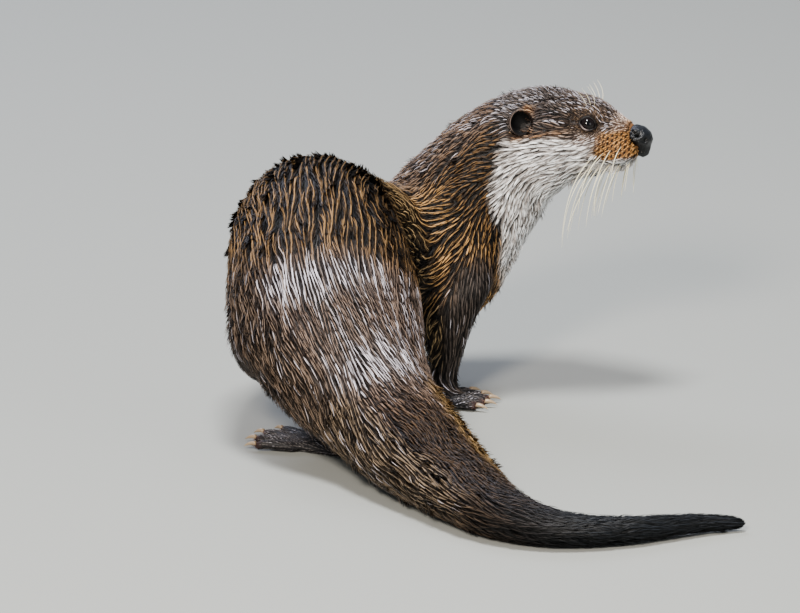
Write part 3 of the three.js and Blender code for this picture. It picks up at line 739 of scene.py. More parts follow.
# bare places: eyes, nose, ear cups and soles carry no coat
corners = points[tris]
faceArea = np.linalg.norm(np.cross(corners[:, 1] - corners[:, 0], corners[:, 2] - corners[:, 0]), axis=1) / 2
local = toHead(points)
bare = (points[:, 2] < 0.8) & (normals[:, 2] < -0.7)
for s in (1, -1):
    radius, ray, outside, _ = lidPlace(local, s)
    bare |= overEye(radius, ray, s) & (outside < 0.35)
    away, out = local - mirrored(ear["middle"], s), unit(mirrored(ear["out"], s))
    height = away @ out
    bare |= (np.linalg.norm(away - height[:, None] * out, axis=1) < 0.93 * ear["radius"]) & (np.abs(height) < 9)
noseSurface = BVHTree.FromPolygons(noseShape.tolist(), noseFaces.tolist())
for i in np.flatnonzero(local[:, 0] > 16):
    near, normal, _, gap = noseSurface.find_nearest(points[i])
    bare[i] |= gap < 0.5 or dot(points[i] - np.array(near), np.array(normal)) < 0
faceArea = faceArea * ~bare[tris].any(1)


def treeOf(places):
    tree = KDTree(len(places))
    for i, place in enumerate(places.tolist()):
        tree.insert(place, i)
    tree.balance()
    return tree


skinTree = treeOf(points)


def scatter(density):  # places spread over the skin, each with its nearest corner
    count = np.floor(faceArea * density[tris].mean(1) + rng.random(len(tris))).astype(int)
    faces = rng.permutation(np.repeat(np.arange(len(tris)), count))
    a, b = rng.random((2, len(faces)))
    over = a + b > 1
    a[over], b[over] = 1 - a[over], 1 - b[over]
    weights = np.stack([1 - a - b, a, b], 1)
    places = (points[tris[faces]] * weights[..., None]).sum(1)
    return places, tris[faces, weights.argmax(1)]


def onSkin(places):  # nearest point of the skin, by its nearest corner's plane
    near = np.array([skinTree.find(p)[1] for p in places.tolist()])
    gap = dot(places - points[near], normals[near])
    return places - normals[near] * gap[:, None], near


stations = np.array([0.0, 0.38, 0.74, 1.0])  # the places along a lock that its points lie at


def follow(start, near, way, length):  # the path that a lock of this length takes over the skin
    path, ways = [start], [normals[near]]
    for before, after in zip(stations[:-1], stations[1:]):
        start, near = onSkin(start + way * (length * (after - before))[:, None])
        n = normals[near]
        way = unit(mix(unit(way - n * dot(way, n)[:, None]), flow[near], 0.35))
        path.append(start)
        ways.append(n)
    return np.stack(path, 1), np.stack(ways, 1)


# lines: wet locks draw together and run on, end to end, until two lines meet in a Y
line = {
    "stride": 1.6, "cell": 5.0,  # mm
    "apart": 0.85, "startApart": 0.62, "meet": 0.22,  # shares of the clumps' spacing across
    "crowd": 2.4, "swirl": 5, "stretch": 60,
}
swirl = around.blur(rng.normal(size=len(points)), line["swirl"])
edgeWay = unit(points[around.other] - np.repeat(points, around.number, axis=0))
weight = dot(edgeWay, np.repeat(lay, around.number, axis=0)) ** 6 + 0.01
total = np.add.reduceat(weight, around.start)
for _ in range(line["stretch"]):  # runs each turn of the lay out along the lay, so lines close in slowly
    swirl = mix(swirl, np.add.reduceat(swirl[around.other] * weight, around.start) / total, 0.6)
swirl = np.clip(swirl / swirl.std(), -2, 2) * np.radians(field["wander"])
flow = unit(lay * np.cos(swirl)[:, None] + across * np.sin(swirl)[:, None])
flowRows, normalRows, pointRows = flow.tolist(), normals.tolist(), points.tolist()
acrossRows, bareRows = field["across"].tolist(), bare.tolist()
cells = {}


def cellOf(place):
    return tuple(int(v // line["cell"]) for v in place)


def taken(place, gap):  # is there a line this near?
    i, j, k = cellOf(place)
    x, y, z = place
    for a in (i - 1, i, i + 1):
        for b in (j - 1, j, j + 1):
            for c in (k - 1, k, k + 1):
                for u, v, w in cells.get((a, b, c), ()):
                    if (u - x) ** 2 + (v - y) ** 2 + (w - z) ** 2 < gap * gap:
                        return True
    return False


def trace(place, near, sign, reach, meet):  # walks down the lay, or up it with sign -1
    walked, gone, stride = [], 0, sign * line["stride"]
    while gone < reach:
        x, y, z = (p + stride * f for p, f in zip(place, flowRows[near]))
        near = skinTree.find((x, y, z))[1]
        (nx, ny, nz), (px, py, pz) = normalRows[near], pointRows[near]
        gap = (x - px) * nx + (y - py) * ny + (z - pz) * nz
        place = (x - gap * nx, y - gap * ny, z - gap * nz)
        if bareRows[near]:
            break
        walked.append((place, near))
        gone += line["stride"]
        if meet and taken(place, meet * acrossRows[near]):
            break
    return walked


linePlaces, lineNear, nodeBase, nodeEnd, nodeLine, lineCount = [], [], [], [], [], 0
seeds, seedNear = scatter(line["crowd"] / field["across"] ** 2)
lineReach = field["line"][seedNear] * rng.uniform(0.5, 1.1, len(seeds))
for seed, near, reach in zip(seeds.tolist(), seedNear.tolist(), lineReach):
    if taken(seed, line["apart"] * acrossRows[near]):
        continue
    upper = trace(tuple(seed), near, -1, reach / 2, line["startApart"])
    lower = trace(tuple(seed), near, 1, reach / 2, line["meet"])
    walked = upper[::-1] + [(tuple(seed), near)] + lower
    for place, _ in walked:
        cells.setdefault(cellOf(place), []).append(place)
    beyond = trace(*walked[-1], 1, field["long"][near] + 3, 0)
    base = len(linePlaces)
    spacing = field["down"][near] / line["stride"]
    steps = np.arange(rng.uniform(0, 0.5) * spacing, len(walked), spacing)
    nodeBase += (base + steps).tolist()
    nodeEnd += [base + len(walked) + len(beyond) - 1] * len(steps)
    nodeLine += [lineCount] * len(steps)
    lineCount += len(steps) > 0
    linePlaces += [place for place, _ in walked + beyond]
    lineNear += [corner for _, corner in walked + beyond]
linePlaces, lineNear, nodeBase, nodeEnd, nodeLine = (
    np.array(rows) for rows in (linePlaces, lineNear, nodeBase, nodeEnd, nodeLine)
)
print("lines:", lineCount, "clumps on them:", len(nodeBase))


def alongLine(position):  # a place on the lines, between its two nearest steps
    before = np.floor(position).astype(int)
    after = np.minimum(before + 1, len(linePlaces) - 1)
    share = (position - before)[..., None]
    return linePlaces[before] * (1 - share) + linePlaces[after] * share


# clumps: each follows its line for a lock's length
clumpCorner = lineNear[nodeBase.astype(int)]
clumpLong = field["long"][clumpCorner] * rng.uniform(0.85, 1.15, len(nodeBase))
position = nodeBase[:, None] + stations * (clumpLong / line["stride"])[:, None]
position = np.minimum(position, nodeEnd[:, None])
clumpPath = alongLine(position)
clumpNormals = normals[lineNear[position.astype(int)]]
clumpWay = unit(clumpPath[:, 1] - clumpPath[:, 0] + 1e-6)
lineTone, lineSheenDraw = rng.normal(size=lineCount), rng.random(lineCount)
clumpTone = 0.6 * lineTone[nodeLine] + 0.8 * rng.normal(size=len(nodeBase))
clumpStand = (rng.random(len(nodeBase)) < field["stand"][clumpCorner]) * rng.uniform(0.4, 1, len(nodeBase))
clumpDown, clumpAcross = field["down"][clumpCorner], field["across"][clumpCorner]
clumpTree = treeOf(clumpPath[:, 0] + clumpWay * (0.5 * clumpDown)[:, None])


def clumpOf(root):  # the clump whose axis lies nearest, and how far from it across the lay
    found = np.array([[j for _, j, _ in clumpTree.find_n(p, 6)] for p in root.tolist()])
    gap = root[:, None] - clumpPath[found, 0] - clumpWay[found] * (0.5 * clumpDown[found])[..., None]
    down = dot(gap, clumpWay[found])
    sideways = np.sqrt(np.maximum((gap**2).sum(-1) - down**2, 0)) / clumpAcross[found]
    pick = (sideways**2 + (0.5 * down / clumpDown[found]) ** 2).argmin(1)
    row = np.arange(len(root))
    return found[row, pick], np.clip(2 * sideways[row, pick], 0, 1.4)


def heightOf(near, clump, rise, sink):  # how far each part of a lock lies off the skin
    depth = coatDepth[near]
    lift = depth * field["lift"][near] * rng.uniform(0.82, 1.1, len(near))
    stand = clumpStand[clump] * np.clip(depth, 0.4, 1.6)
    return lift[:, None] * rise + sink + stand[:, None] * np.array([0, 0.2, 1.25, 2.9])


def fromRoot(body, shades):  # a lock's colour at each of its stations
    return body[:, None] * np.array(shades)[None, :, None]


def lockset(path, normalPath, height, near, length, wide, tones, edgeShade):
    # raises each path by its height and gives it a ridged, tapered lock: three rows of three points and a tip
    count = len(path)
    path = path + normalPath * height[..., None]
    path[..., 2] = np.maximum(path[..., 2], 0.3)
    way = unit(np.gradient(path, axis=1))
    sideWay = unit(np.cross(normalPath, way))
    sideWay = unit(sideWay + normalPath * (0.3 * rng.normal(size=count))[:, None, None])
    upWay = unit(np.cross(way, sideWay))
    half = (wide / 2)[:, None] * np.array([0.6, 1.0, 0.75, 0.0])
    sag = (wide * 0.3)[:, None] * np.array([1.0, 1.0, 0.8, 0.0])
    left = path + sideWay * half[..., None] - upWay * sag[..., None]
    right = path - sideWay * half[..., None] - upWay * sag[..., None]
    rows = np.stack([left[:, :3], path[:, :3], right[:, :3]], 2).reshape(count, 9, 3)
    onPad = zones["muzzle"][near] > 0.05
    tones[onPad] *= spotShade(path[onPad], zones["muzzle"][near[onPad], None])[..., None]
    colours = np.concatenate([np.repeat(tones[:, :3], 3, axis=1), tones[:, 3:4]], 1)
    colours[:, [0, 2, 3, 5, 6, 8]] *= edgeShade  # the edges lie in the shade of the ridge
    return {"verts": np.concatenate([rows, path[:, 3:4]], 1), "colours": colours, "root": path[:, 0], "near": near,
            "wide": wide, "long": length}


def underLocks():  # the body of the coat: locks that lean in to their clump's line
    root, near = scatter(field["thick"])
    clump, offset = clumpOf(root)
    count = len(root)
    swing = np.radians(field["stray"][near]) * rng.normal(size=count)
    way = unit(flow[near] * np.cos(swing)[:, None] + np.cross(normals[near], flow[near]) * np.sin(swing)[:, None])
    length = field["long"][near] * rng.uniform(0.75, 1.2, count)
    wide = field["wide"][near] * rng.uniform(0.8, 1.2, count)
    path, normalPath = follow(root, near, way, length)
    toGuide = clumpPath[clump] - path
    step = unit(path[:, -1] - path[:, 0])[:, None]
    toGuide = toGuide - 0.8 * dot(toGuide, step)[..., None] * step  # closes in sideways more than it bunches up
    reach = np.linalg.norm(toGuide, axis=2, keepdims=True)
    toGuide = toGuide * np.minimum(1, 1.2 * field["across"][near][:, None, None] / np.maximum(reach, 1e-6))
    pull = np.clip(field["pull"][near] * rng.uniform(0.8, 1.15, count), 0, 0.97)
    path = path + toGuide * (pull[:, None] * stations**1.3)[..., None]
    middle = (1 - np.clip(offset, 0, 1))[:, None]
    tone = np.clip(0.2 + 0.8 * middle + 0.25 * rng.normal(size=(count, 1)), 0, 1.3)
    body = mix(field["dark"][near], field["fur"][near], tone)
    body = mix(body, field["bright"][near], 0.15 * middle * rng.random((count, 1)))
    body = body * np.exp(0.16 * clumpTone[clump] + 0.16 * rng.normal(size=count))[:, None]
    tones = fromRoot(body, [0.35, 0.9, 1.05, 1.0])
    tones[:, 0] = mix(field["dark"][near], tones[:, 0], 0.4)
    rise = np.array([0.0, 0.6, 0.92, 1.0]) * (0.68 + 0.32 * middle)
    height = heightOf(near, clump, rise, np.array([-0.5, 0, 0, 0]))
    return lockset(path, normalPath, height, near, length, wide, tones, 0.75)


def ridgeLocks():  # the bright locks along each line's crest, some coming in from its sides
    number = np.floor(field["ridges"][clumpCorner] + rng.random(len(clumpCorner))).astype(int)
    clump = np.repeat(np.arange(len(clumpCorner)), number)
    near, count = clumpCorner[clump], len(clump)
    length = clumpLong[clump]
    wide = field["wide"][near] * field["ridgeWide"][near] * rng.uniform(0.75, 1.2, count)
    path, normalPath = clumpPath[clump], clumpNormals[clump]
    acrossWay = unit(np.cross(normalPath[:, 0], clumpWay[clump]))
    feeder = rng.random(count) < field["feeders"][near]
    offset = np.where(feeder, rng.uniform(0.2, 0.45, count) * rng.choice([-1, 1], count), 0) * clumpAcross[clump]
    offset = offset[:, None] * (1 - stations) ** 1.2 + (rng.normal(size=count) * 0.35 * wide)[:, None]
    path = path + acrossWay[:, None] * offset[..., None]
    fur, bright = field["fur"][near], field["bright"][near]
    share = field["paintedSheen"][near][:, None]
    # a share of the lines take the painted highlight on their crests: near-white mixed into the crest colour for the
    # wet coat's gloss
    sheened = (0.75 * lineSheenDraw[nodeLine[clump]] + 0.25 * rng.random(count))[:, None] < share
    top = np.where(sheened, mix(bright, paintedSheen, (0.25 + 0.75 * share) * rng.uniform(0.65, 1.05, (count, 1))), bright)
    shade = np.clip(0.85 + 0.2 * clumpTone[clump] + 0.22 * rng.normal(size=count), 0.12, 1.2)[:, None]
    body = mix(fur, top, shade) * np.exp(0.12 * rng.normal(size=(count, 1)))
    tones = fromRoot(body, [0.5, 0.95, 1.05, 0.95])
    tones[:, 0] = mix(field["dark"][near], tones[:, 0], 0.5)
    rise, sink = np.array([[0.45, 1.0, 1.12, 1.06]]), np.array([-0.1, 0.3, 0.35, 0.15])
    return lockset(path, normalPath, heightOf(near, clump, rise, sink), near, length, wide, tones, 0.72)


def earWays(s):  # out of the ear's cup, forward and up across it
    out = unit(mirrored(ear["out"], s))
    fore = unit(np.array([1.0, 0, 0]) - out * out[0])
    up = np.cross(out, fore)
    return out, fore, up if up[2] > 0 else -up


def earStand(turn):  # how far the rim stands out, most at the rear
    return 0.62 + 0.38 * (0.5 - 0.5 * np.cos(turn)) + 0.1 * np.sin(turn)


def straight(start, way, length):
    return start[:, None] + way[:, None] * (length[:, None] * stations)[..., None]


def bothSides(make):  # one set of locks from the sets of the head's two sides
    sets = [make(s) for s in (1, -1)]
    return {key: np.concatenate([one[key] for one in sets]) for key in sets[0]}


def earLocks(s):  # short hair up the outside of an ear, a little way past its rim
    number = ear["locks"]
    out, fore, up = earWays(s)
    turn = rng.uniform(0, 2 * math.pi, number)
    away = np.cos(turn)[:, None] * fore + np.sin(turn)[:, None] * up
    high = rng.uniform(-2.5, 3.4, number) * earStand(turn)
    start = mirrored(ear["middle"], s) + out * high[:, None]
    start = start + away * (ear["radius"] * rng.uniform(1.02, 1.09, number))[:, None]
    way = unit(0.9 * out + 0.12 * away - 0.55 * fore + 0.12 * rng.normal(size=(number, 3)))
    length = rng.uniform(2.0, 3.6, number)
    path = fromHead(straight(start, way, length) - away[:, None] * (0.5 * stations**2)[None, :, None])
    pale = smooth(-np.cos(turn) + 0.3 * np.sin(turn), 0.2, 0.9) * smooth(high, 0.3, 1.8)
    body = mix(fromHex(ear["outside"]), fromHex(ear["pale"]), pale[:, None] * rng.uniform(0.4, 1, (number, 1)))
    body = mix(body, fromHex(ear["tan"]), 0.8 * (bell(turn, 1.35, 0.45) * rng.uniform(0.3, 1, number))[:, None])
    tones = fromRoot(body, [0.5, 0.9, 1.05, 1.1])
    turned = np.repeat((away @ headTurn.T)[:, None], 4, axis=1)
    height = np.tile([0.1, 0.35, 0.4, 0.2], (number, 1))
    return lockset(path, turned, height, onSkin(path[:, 0])[1], length, np.full(number, ear["wide"]), tones, 0.75)


lip = {
    "locks": 110, "wide": 0.75, "shade": "#c9bfb4", "light": "#ffffff",
    "edge": ([4, 12, 20, 31], [-25, -28, -28.5, -25]),  # its height at these places along the head
    "half": ([0, 15, 31], [24, 19, 6]),  # how far out from the middle
}


def lipLocks(s):  # white hair that hangs from the edge of the upper lip
    number = lip["locks"]
    share = rng.random(number)
    x = 4 + 27 * share
    start = np.stack([x, s * np.interp(x, *lip["half"]), np.interp(x, *lip["edge"])], 1)
    start[:, 2] += rng.uniform(-1.5, 2, number)
    found = [surface.find_nearest(p)[:2] for p in fromHead(start).tolist()]
    root, normal = np.array([p[:] for p, _ in found]), np.array([n[:] for _, n in found])
    way = np.stack([-0.45 - 0.25 * (1 - share), np.full(number, s * 0.12), np.full(number, -0.85)], 1)
    way = unit(way + 0.12 * rng.normal(size=(number, 3))) @ headTurn.T
    length = rng.uniform(4, 8, number)
    body = mix(fromHex(lip["shade"]), fromHex(lip["light"]), rng.random((number, 1)))
    tones = fromRoot(body, [0.5, 1, 1.05, 1.05])
    height = np.tile([0.4, 1.7, 2.2, 1.9], (number, 1))
    turned = np.repeat(normal[:, None], 4, axis=1)
    near = onSkin(root)[1]
    wide = np.full(number, lip["wide"])
    return lockset(straight(root, way, length), turned, height, near, length, wide, tones, 0.7)


lockTris = [face for a in (0, 1, 3, 4) for face in ((a, a + 1, a + 3), (a + 1, a + 4, a + 3))]
lockTris = np.array(lockTris + [(6, 7, 9), (7, 8, 9)])

surface = BVHTree.FromPolygons(points.tolist(), tris.tolist())
locksets = (underLocks(), ridgeLocks(), bothSides(earLocks), bothSides(lipLocks))
print("locks:", *(len(locks["root"]) for locks in locksets))


# materials
def newMaterial(name):
    material = bpy.data.materials.new(name)
    material.use_nodes = True
    material.node_tree.nodes.clear()
    return material


def addNode(material, kind, values=None, links=None, **settings):
    node = material.node_tree.nodes.new("ShaderNode" + kind)
    for key, value in settings.items():
        setattr(node, key, value)
    for key, value in (values or {}).items():
        node.inputs[key].default_value = value
    for key, source in (links or {}).items():
        material.node_tree.links.new(source, node.inputs[key])
    return node


def surfaceOf(material, values, links):
    shader = addNode(material, "BsdfPrincipled", values, links)
    addNode(material, "OutputMaterial", links={"Surface": shader.outputs["BSDF"]})
    return material


def shadedColour(material, pattern, low, high, darkest, lightest):  # the painted colour, varied by a pattern
    colour = addNode(material, "VertexColor", layer_name="coat").outputs["Color"]
    limits = {"From Min": low, "From Max": high, "To Min": darkest, "To Max": lightest}
    tone = addNode(material, "MapRange", limits, {"Value": pattern})
    links = {0: colour, 1: tone.outputs["Result"]}
    return colour, addNode(material, "VectorMath", links=links, operation="MULTIPLY").outputs["Vector"]


def hairGrain(material, uvMap, scale, detail, roughness):  # noise drawn out along the hair
    place = addNode(material, "UVMap", uv_map=uvMap)
    stretch = addNode(material, "Mapping", {"Scale": scale}, {"Vector": place.outputs["UV"]})
    values = {"Scale": 1.0, "Detail": detail, "Roughness": roughness}
    return addNode(material, "TexNoise", values, {"Vector": stretch.outputs["Vector"]}).outputs["Fac"]


def bumpOf(material, height, strength, depth):
    return addNode(material, "Bump", {"Strength": strength, "Distance": depth}, {"Height": height}).outputs["Normal"]


def guardHair():
    # wet guard hair: keratin strands stuck together by water, glossy along each lock and rough across it
    hair = {"strand": 0.16, "ior": 1.55, "gloss": 0.14}  # strands in mm, twice as coarse as real ones so they show
    material = newMaterial("wetGuardHair")
    strands = hairGrain(material, "strand", (1 / hair["strand"], 0.07 / hair["strand"], 1), 2.0, 0.6)
    colour, shaded = shadedColour(material, strands, 0.3, 0.7, 0.72, 1.25)
    lightness = addNode(material, "RGBToBW", links={"Color": colour})
    limits = {"From Min": 0.01, "From Max": 0.3, "To Min": 0.5, "To Max": 0.3}  # pale hair is the smoother
    rough = addNode(material, "MapRange", limits, {"Value": lightness.outputs["Val"]})
    return surfaceOf(
        material, {"IOR": hair["ior"], "Specular IOR Level": hair["gloss"]},
        {"Base Color": shaded, "Roughness": rough.outputs["Result"], "Normal": bumpOf(material, strands, 0.5, 0.0001)},
    )


def wetHide():
    # hide under the coat: short dense underfur, matted by water, with the same markings as the locks
    material = newMaterial("wetUnderfur")
    hairs = hairGrain(material, "lay", (2.4, 0.5, 1), 4.0, 0.65)
    _, shaded = shadedColour(material, hairs, 0.3, 0.7, 0.6, 1.3)
    return surfaceOf(
        material, {"Roughness": 0.55, "IOR": 1.5, "Specular IOR Level": 0.3},
        {"Base Color": shaded, "Normal": bumpOf(material, hairs, 0.6, 0.0003)},
    )


def noseLeather():
    # nose leather: bare skin in fine pebbles, always moist, so dark with a sharp gloss
    pebble = 0.00085  # metres across
    material = newMaterial("moistNoseLeather")
    place = addNode(material, "TexCoord")
    pebbles = addNode(
        material, "TexVoronoi", {"Scale": 1 / pebble, "Randomness": 0.8}, {"Vector": place.outputs["Object"]},
        feature="DISTANCE_TO_EDGE",
    )
    limits = {"From Min": 0.0, "From Max": 0.18, "To Min": 0.0, "To Max": 1.0}
    crease = addNode(material, "MapRange", limits, {"Value": pebbles.outputs["Distance"]}).outputs["Result"]
    # painted shade: the creases between the pebbles are coloured darker
    _, shaded = shadedColour(material, crease, 0.0, 1.0, 0.5, 1.15)
    return surfaceOf(
        material, {"Roughness": 0.24, "IOR": 1.45, "Specular IOR Level": 0.4},
        {"Base Color": shaded, "Normal": bumpOf(material, crease, 0.55, 0.00018)},
    )


def eyeMaterial():
    # cornea over a dark brown iris: a wet dome that gives one sharp highlight
    material = newMaterial("wetCornea")
    colour = addNode(material, "VertexColor", layer_name="eye")
    return surfaceOf(material, {"Roughness": 0.04, "IOR": 1.36}, {"Base Color": colour.outputs["Color"]})


def clawKeratin():
    # claw keratin: layered horn, pale and slightly see-through, with fine lines along its length
    dark, pale = "#6e5a45", "#b9a283"
    material = newMaterial("clawKeratin")
    lines = hairGrain(material, "strand", (14, 1.2, 1), 3.0, 0.5)
    ends = {"A": (*fromHex(dark), 1), "B": (*fromHex(pale), 1)}
    colour = addNode(material, "Mix", ends, {"Factor": lines}, data_type="RGBA")
    return surfaceOf(
        material, {"Roughness": 0.32, "IOR": 1.55},
        {"Base Color": colour.outputs["Result"], "Normal": bumpOf(material, lines, 0.3, 0.0001)},
    )


def whiskerHair():
    # whisker: one stiff smooth hair, cream, darker at its root
    material = newMaterial("whiskerKeratin")
    colour = addNode(material, "VertexColor", layer_name="coat")
    return surfaceOf(material, {"Roughness": 0.3, "IOR": 1.55}, {"Base Color": colour.outputs["Color"]})


def earSkin():
    # ear: thin skin with a fine nap, matt; dark skin, with painted shade making the cup near black inside
    nap = 0.0007  # metres across
    material = newMaterial("earSkin")
    colour = addNode(material, "VertexColor", layer_name="coat")
    place = addNode(material, "TexCoord")
    grain = addNode(material, "TexNoise", {"Scale": 1 / nap, "Detail": 3.0}, {"Vector": place.outputs["Object"]})
    return surfaceOf(
        material, {"Roughness": 0.7, "IOR": 1.45, "Specular IOR Level": 0.2},
        {"Base Color": colour.outputs["Color"], "Normal": bumpOf(material, grain.outputs["Fac"], 0.5, 0.0002)},
    )


hairFinish, hideFinish, noseFinish = guardHair(), wetHide(), noseLeather()
eyeFinish, clawFinish, whiskerFinish, earFinish = eyeMaterial(), clawKeratin(), whiskerHair(), earSkin()


def giveMap(me, name, places):  # a UV map from one place for each point
    layer = me.uv_layers.new(name=name)
    index = np.empty(len(me.loops), np.int32)
    me.loops.foreach_get("vertex_index", index)
    layer.data.foreach_set("uv", places[index].astype(np.float32).ravel())


# skin piece
skinColour = mix(field["dark"], field["fur"], 0.35)
shortHaired = np.maximum.reduce([zones[name] for name in ("muzzle", "lid", "lip", "foot")])
skinColour = mix(skinColour, field["fur"], 0.4 * shortHaired)
skinColour = skinColour * spotShade(points, zones["muzzle"])[:, None]
for s in (1, -1):  # the lids' wet rims are near black
    radius, ray, outside, turn = lidPlace(toHead(points), s)
    near = overEye(radius, ray, s)
    rim = near * (1 - smooth(outside, 0.3, 1.3))
    skinColour = mix(skinColour, fromHex(face["lidRim"]), rim[:, None])
    lowerRear = smooth(-np.sin(turn), 0.2, 0.9) * smooth(-np.cos(turn), -0.45, 0.35)
    gleam = 0.6 * near * bell(outside, -0.05, 0.35) * lowerRear
    skinColour = mix(skinColour, fromHex(face["lidGleam"]), gleam[:, None])
paint(skinMesh, "coat", skinColour)
giveMap(skinMesh, "lay", np.stack([np.arctan2(side, back) * 45, along], 1))
skinMesh.shade_smooth()
addPiece("otterSkin", skinMesh, hideFinish, "guard_hair_body", *skin["nodes"])


# coat pieces
sections = {
    "Head": ("head",), "Neck": ("neck",), "Chest": ("chest",), "Trunk": ("trunk",), "Rump": ("hindquarters",),
    "Tail": ("tail",), "Forelegs": ("foreleg", "forefoot"), "Hindlegs": ("hindleg", "hindfoot"),
}
slots = {"Head": "guard_hair_head", "Forelegs": "guard_hair_limbs", "Hindlegs": "guard_hair_limbs"}
mostLocks = 19500  # in one piece
patch = 0.003  # of the bake map, across one lock


def spreadOut(values):  # to 0..1, evenly filled
    rank = np.empty(len(values))
    rank[np.argsort(values, kind="stable")] = np.linspace(0.004, 0.996, len(values))
    return rank


def chart(section, root, near):  # a lock's place on an unwrap of its part of the skin
    if section == "Head":
        p = toHead(root)
        return np.arctan2(p[:, 1], p[:, 2] + 15), -p[:, 0]
    if section in ("Forelegs", "Hindlegs"):
        limb = owner[near]
        u, v = np.zeros(len(root)), root[:, 2].copy()
        for cell, one in enumerate(np.unique(limb)):
            mine = limb == one
            gap = root[mine] - root[mine].mean(0)
            u[mine] = np.arctan2(gap[:, 1], gap[:, 0]) + 7 * cell
        return u, v
    return np.arctan2(side[near], back[near]), along[near]


def gather(locksets, chosen):
    return {
        key: np.concatenate([locks[key][pick] for locks, pick in zip(locksets, chosen)])
        for key in ("verts", "colours", "root", "near", "wide", "long")
    }


def addCoat(name, section, locks):
    count = len(locks["root"])
    verts = locks["verts"].reshape(-1, 3)
    meshTris = (lockTris[None] + 10 * np.arange(count)[:, None, None]).reshape(-1, 3)
    me = fastMesh(name, verts, meshTris)
    paint(me, "coat", locks["colours"].reshape(-1, 3))
    acrossLock = np.array([-1, 0, 1] * 3 + [0]) / 2
    downLock = np.append(np.repeat(stations[:3], 3), stations[3])
    own = rng.uniform(0, 60, (count, 1, 2))
    strand = np.stack([acrossLock * locks["wide"][:, None], downLock * locks["long"][:, None]], 2) + own
    giveMap(me, "strand", strand.reshape(-1, 2))
    u, v = chart(section, locks["root"], locks["near"])
    middle = np.stack([spreadOut(u), spreadOut(v)], 1)
    bake = middle[:, None] + patch * np.stack([acrossLock, downLock - 0.5], 1)[None]
    giveMap(me, "OFBake", bake.reshape(-1, 2))
    me.uv_layers["strand"].active_render = True
    addPiece(name, me, hairFinish, slots.get(section, "guard_hair_body"))


alongOf = [along[locks["near"]] for locks in locksets]
totalLocks = 0
for section, starts in sections.items():
    own = chosenFor(starts)
    inSection = [own[locks["near"]] for locks in locksets]
    total = sum(pick.sum() for pick in inSection)
    parts = int(np.ceil(total / mostLocks))
    allAlong = np.concatenate([a[pick] for a, pick in zip(alongOf, inSection)])
    cuts = np.quantile(allAlong, np.linspace(0, 1, parts + 1))
    cuts[0], cuts[-1] = -np.inf, np.inf
    for number in range(parts):
        chosen = [pick & (a >= cuts[number]) & (a < cuts[number + 1]) for a, pick in zip(alongOf, inSection)]
        addCoat(f"coat{section}{number + 1 if parts > 1 else ''}", section, gather(locksets, chosen))
    totalLocks += total
print("coat pieces made,", totalLocks, "locks,", totalLocks * len(lockTris), "triangles")


def ringFaces(rings, sides, base=0):  # between rings of points that follow one another
    return [
        [a + k, a + (k + 1) % sides, a + sides + (k + 1) % sides, a + sides + k]
        for a in range(base, base + (rings - 1) * sides, sides) for k in range(sides)
    ]


def tube(path, sizes, sideWay, topWay, sides):  # rings of points round a path
    turn = (2 * math.pi * np.arange(sides) / sides)[None, :, None]
    ring = np.cos(turn) * sideWay[..., None, :] + np.sin(turn) * topWay[..., None, :]
    return (path[:, None] + sizes[:, None] * ring).reshape(-1, 3)


# eyes
eye = {
    "rings": 28, "sides": 48, "corneaRise": 0.35, "corneaWide": 0.62,
    "pupil": 0.3, "iris": 0.66,  # radians from the middle of the gaze
    "colours": ("#020203", "#0d0706", "#070506"),  # pupil, iris and the white, which is dark
}
for name, s in (("right", -1), ("left", 1)):
    middle, gaze, forward, up = lidFrame(s)
    angle = np.linspace(0, math.pi, eye["rings"] + 1)[:, None, None]
    turn = (np.arange(eye["sides"]) / eye["sides"] * 2 * math.pi)[None, :, None]
    way = np.cos(angle) * gaze + np.sin(angle) * (np.cos(turn) * forward + np.sin(turn) * up)
    radius = head["eyeRadius"] + eye["corneaRise"] * np.exp(-((angle / eye["corneaWide"]) ** 4))
    grid = middle + way * radius
    eyePoints = np.vstack([grid[0, :1], grid[1:-1].reshape(-1, 3), grid[-1, :1]])
    sides, last = eye["sides"], len(eyePoints) - 1
    faces = [face[::-1] for face in ringFaces(eye["rings"] - 1, sides, 1)]
    for k in range(sides):
        after = (k + 1) % sides
        faces += [[0, 1 + k, 1 + after], [last - sides + after, last - sides + k, last]]
    angle = np.arccos(np.clip(unit(eyePoints - middle) @ gaze, -1, 1))
    pupil, iris, rest = (fromHex(colour) for colour in eye["colours"])
    colour = mix(pupil, iris, smooth(angle, eye["pupil"], eye["pupil"] + 0.05)[:, None])
    colour = mix(colour, rest, smooth(angle, eye["iris"], eye["iris"] + 0.1)[:, None])
    me = meshFrom(f"eye{name}", fromHead(eyePoints), faces)
    paint(me, "eye", colour)
    addPiece(f"eye{name.capitalize()}", me, eyeFinish, "eye", f"eye_{name}")
print("eyes made")

# nose
# painted shade: the nose is coloured darker underneath and lighter on top, and near black down in its nostril holes
noseColour = mix(fromHex(nose["low"]), fromHex(nose["high"]), smooth(toHead(noseShape)[:, 2], -14, -4)[:, None])
paint(noseMesh, "coat", mix(noseColour, fromHex(nose["hole"]), np.clip(1.6 * hollow, 0, 1)[:, None]))
noseMesh.shade_smooth()
addPiece("noseLeather", noseMesh, noseFinish, "nose_leather", "nose")
print("nose made")

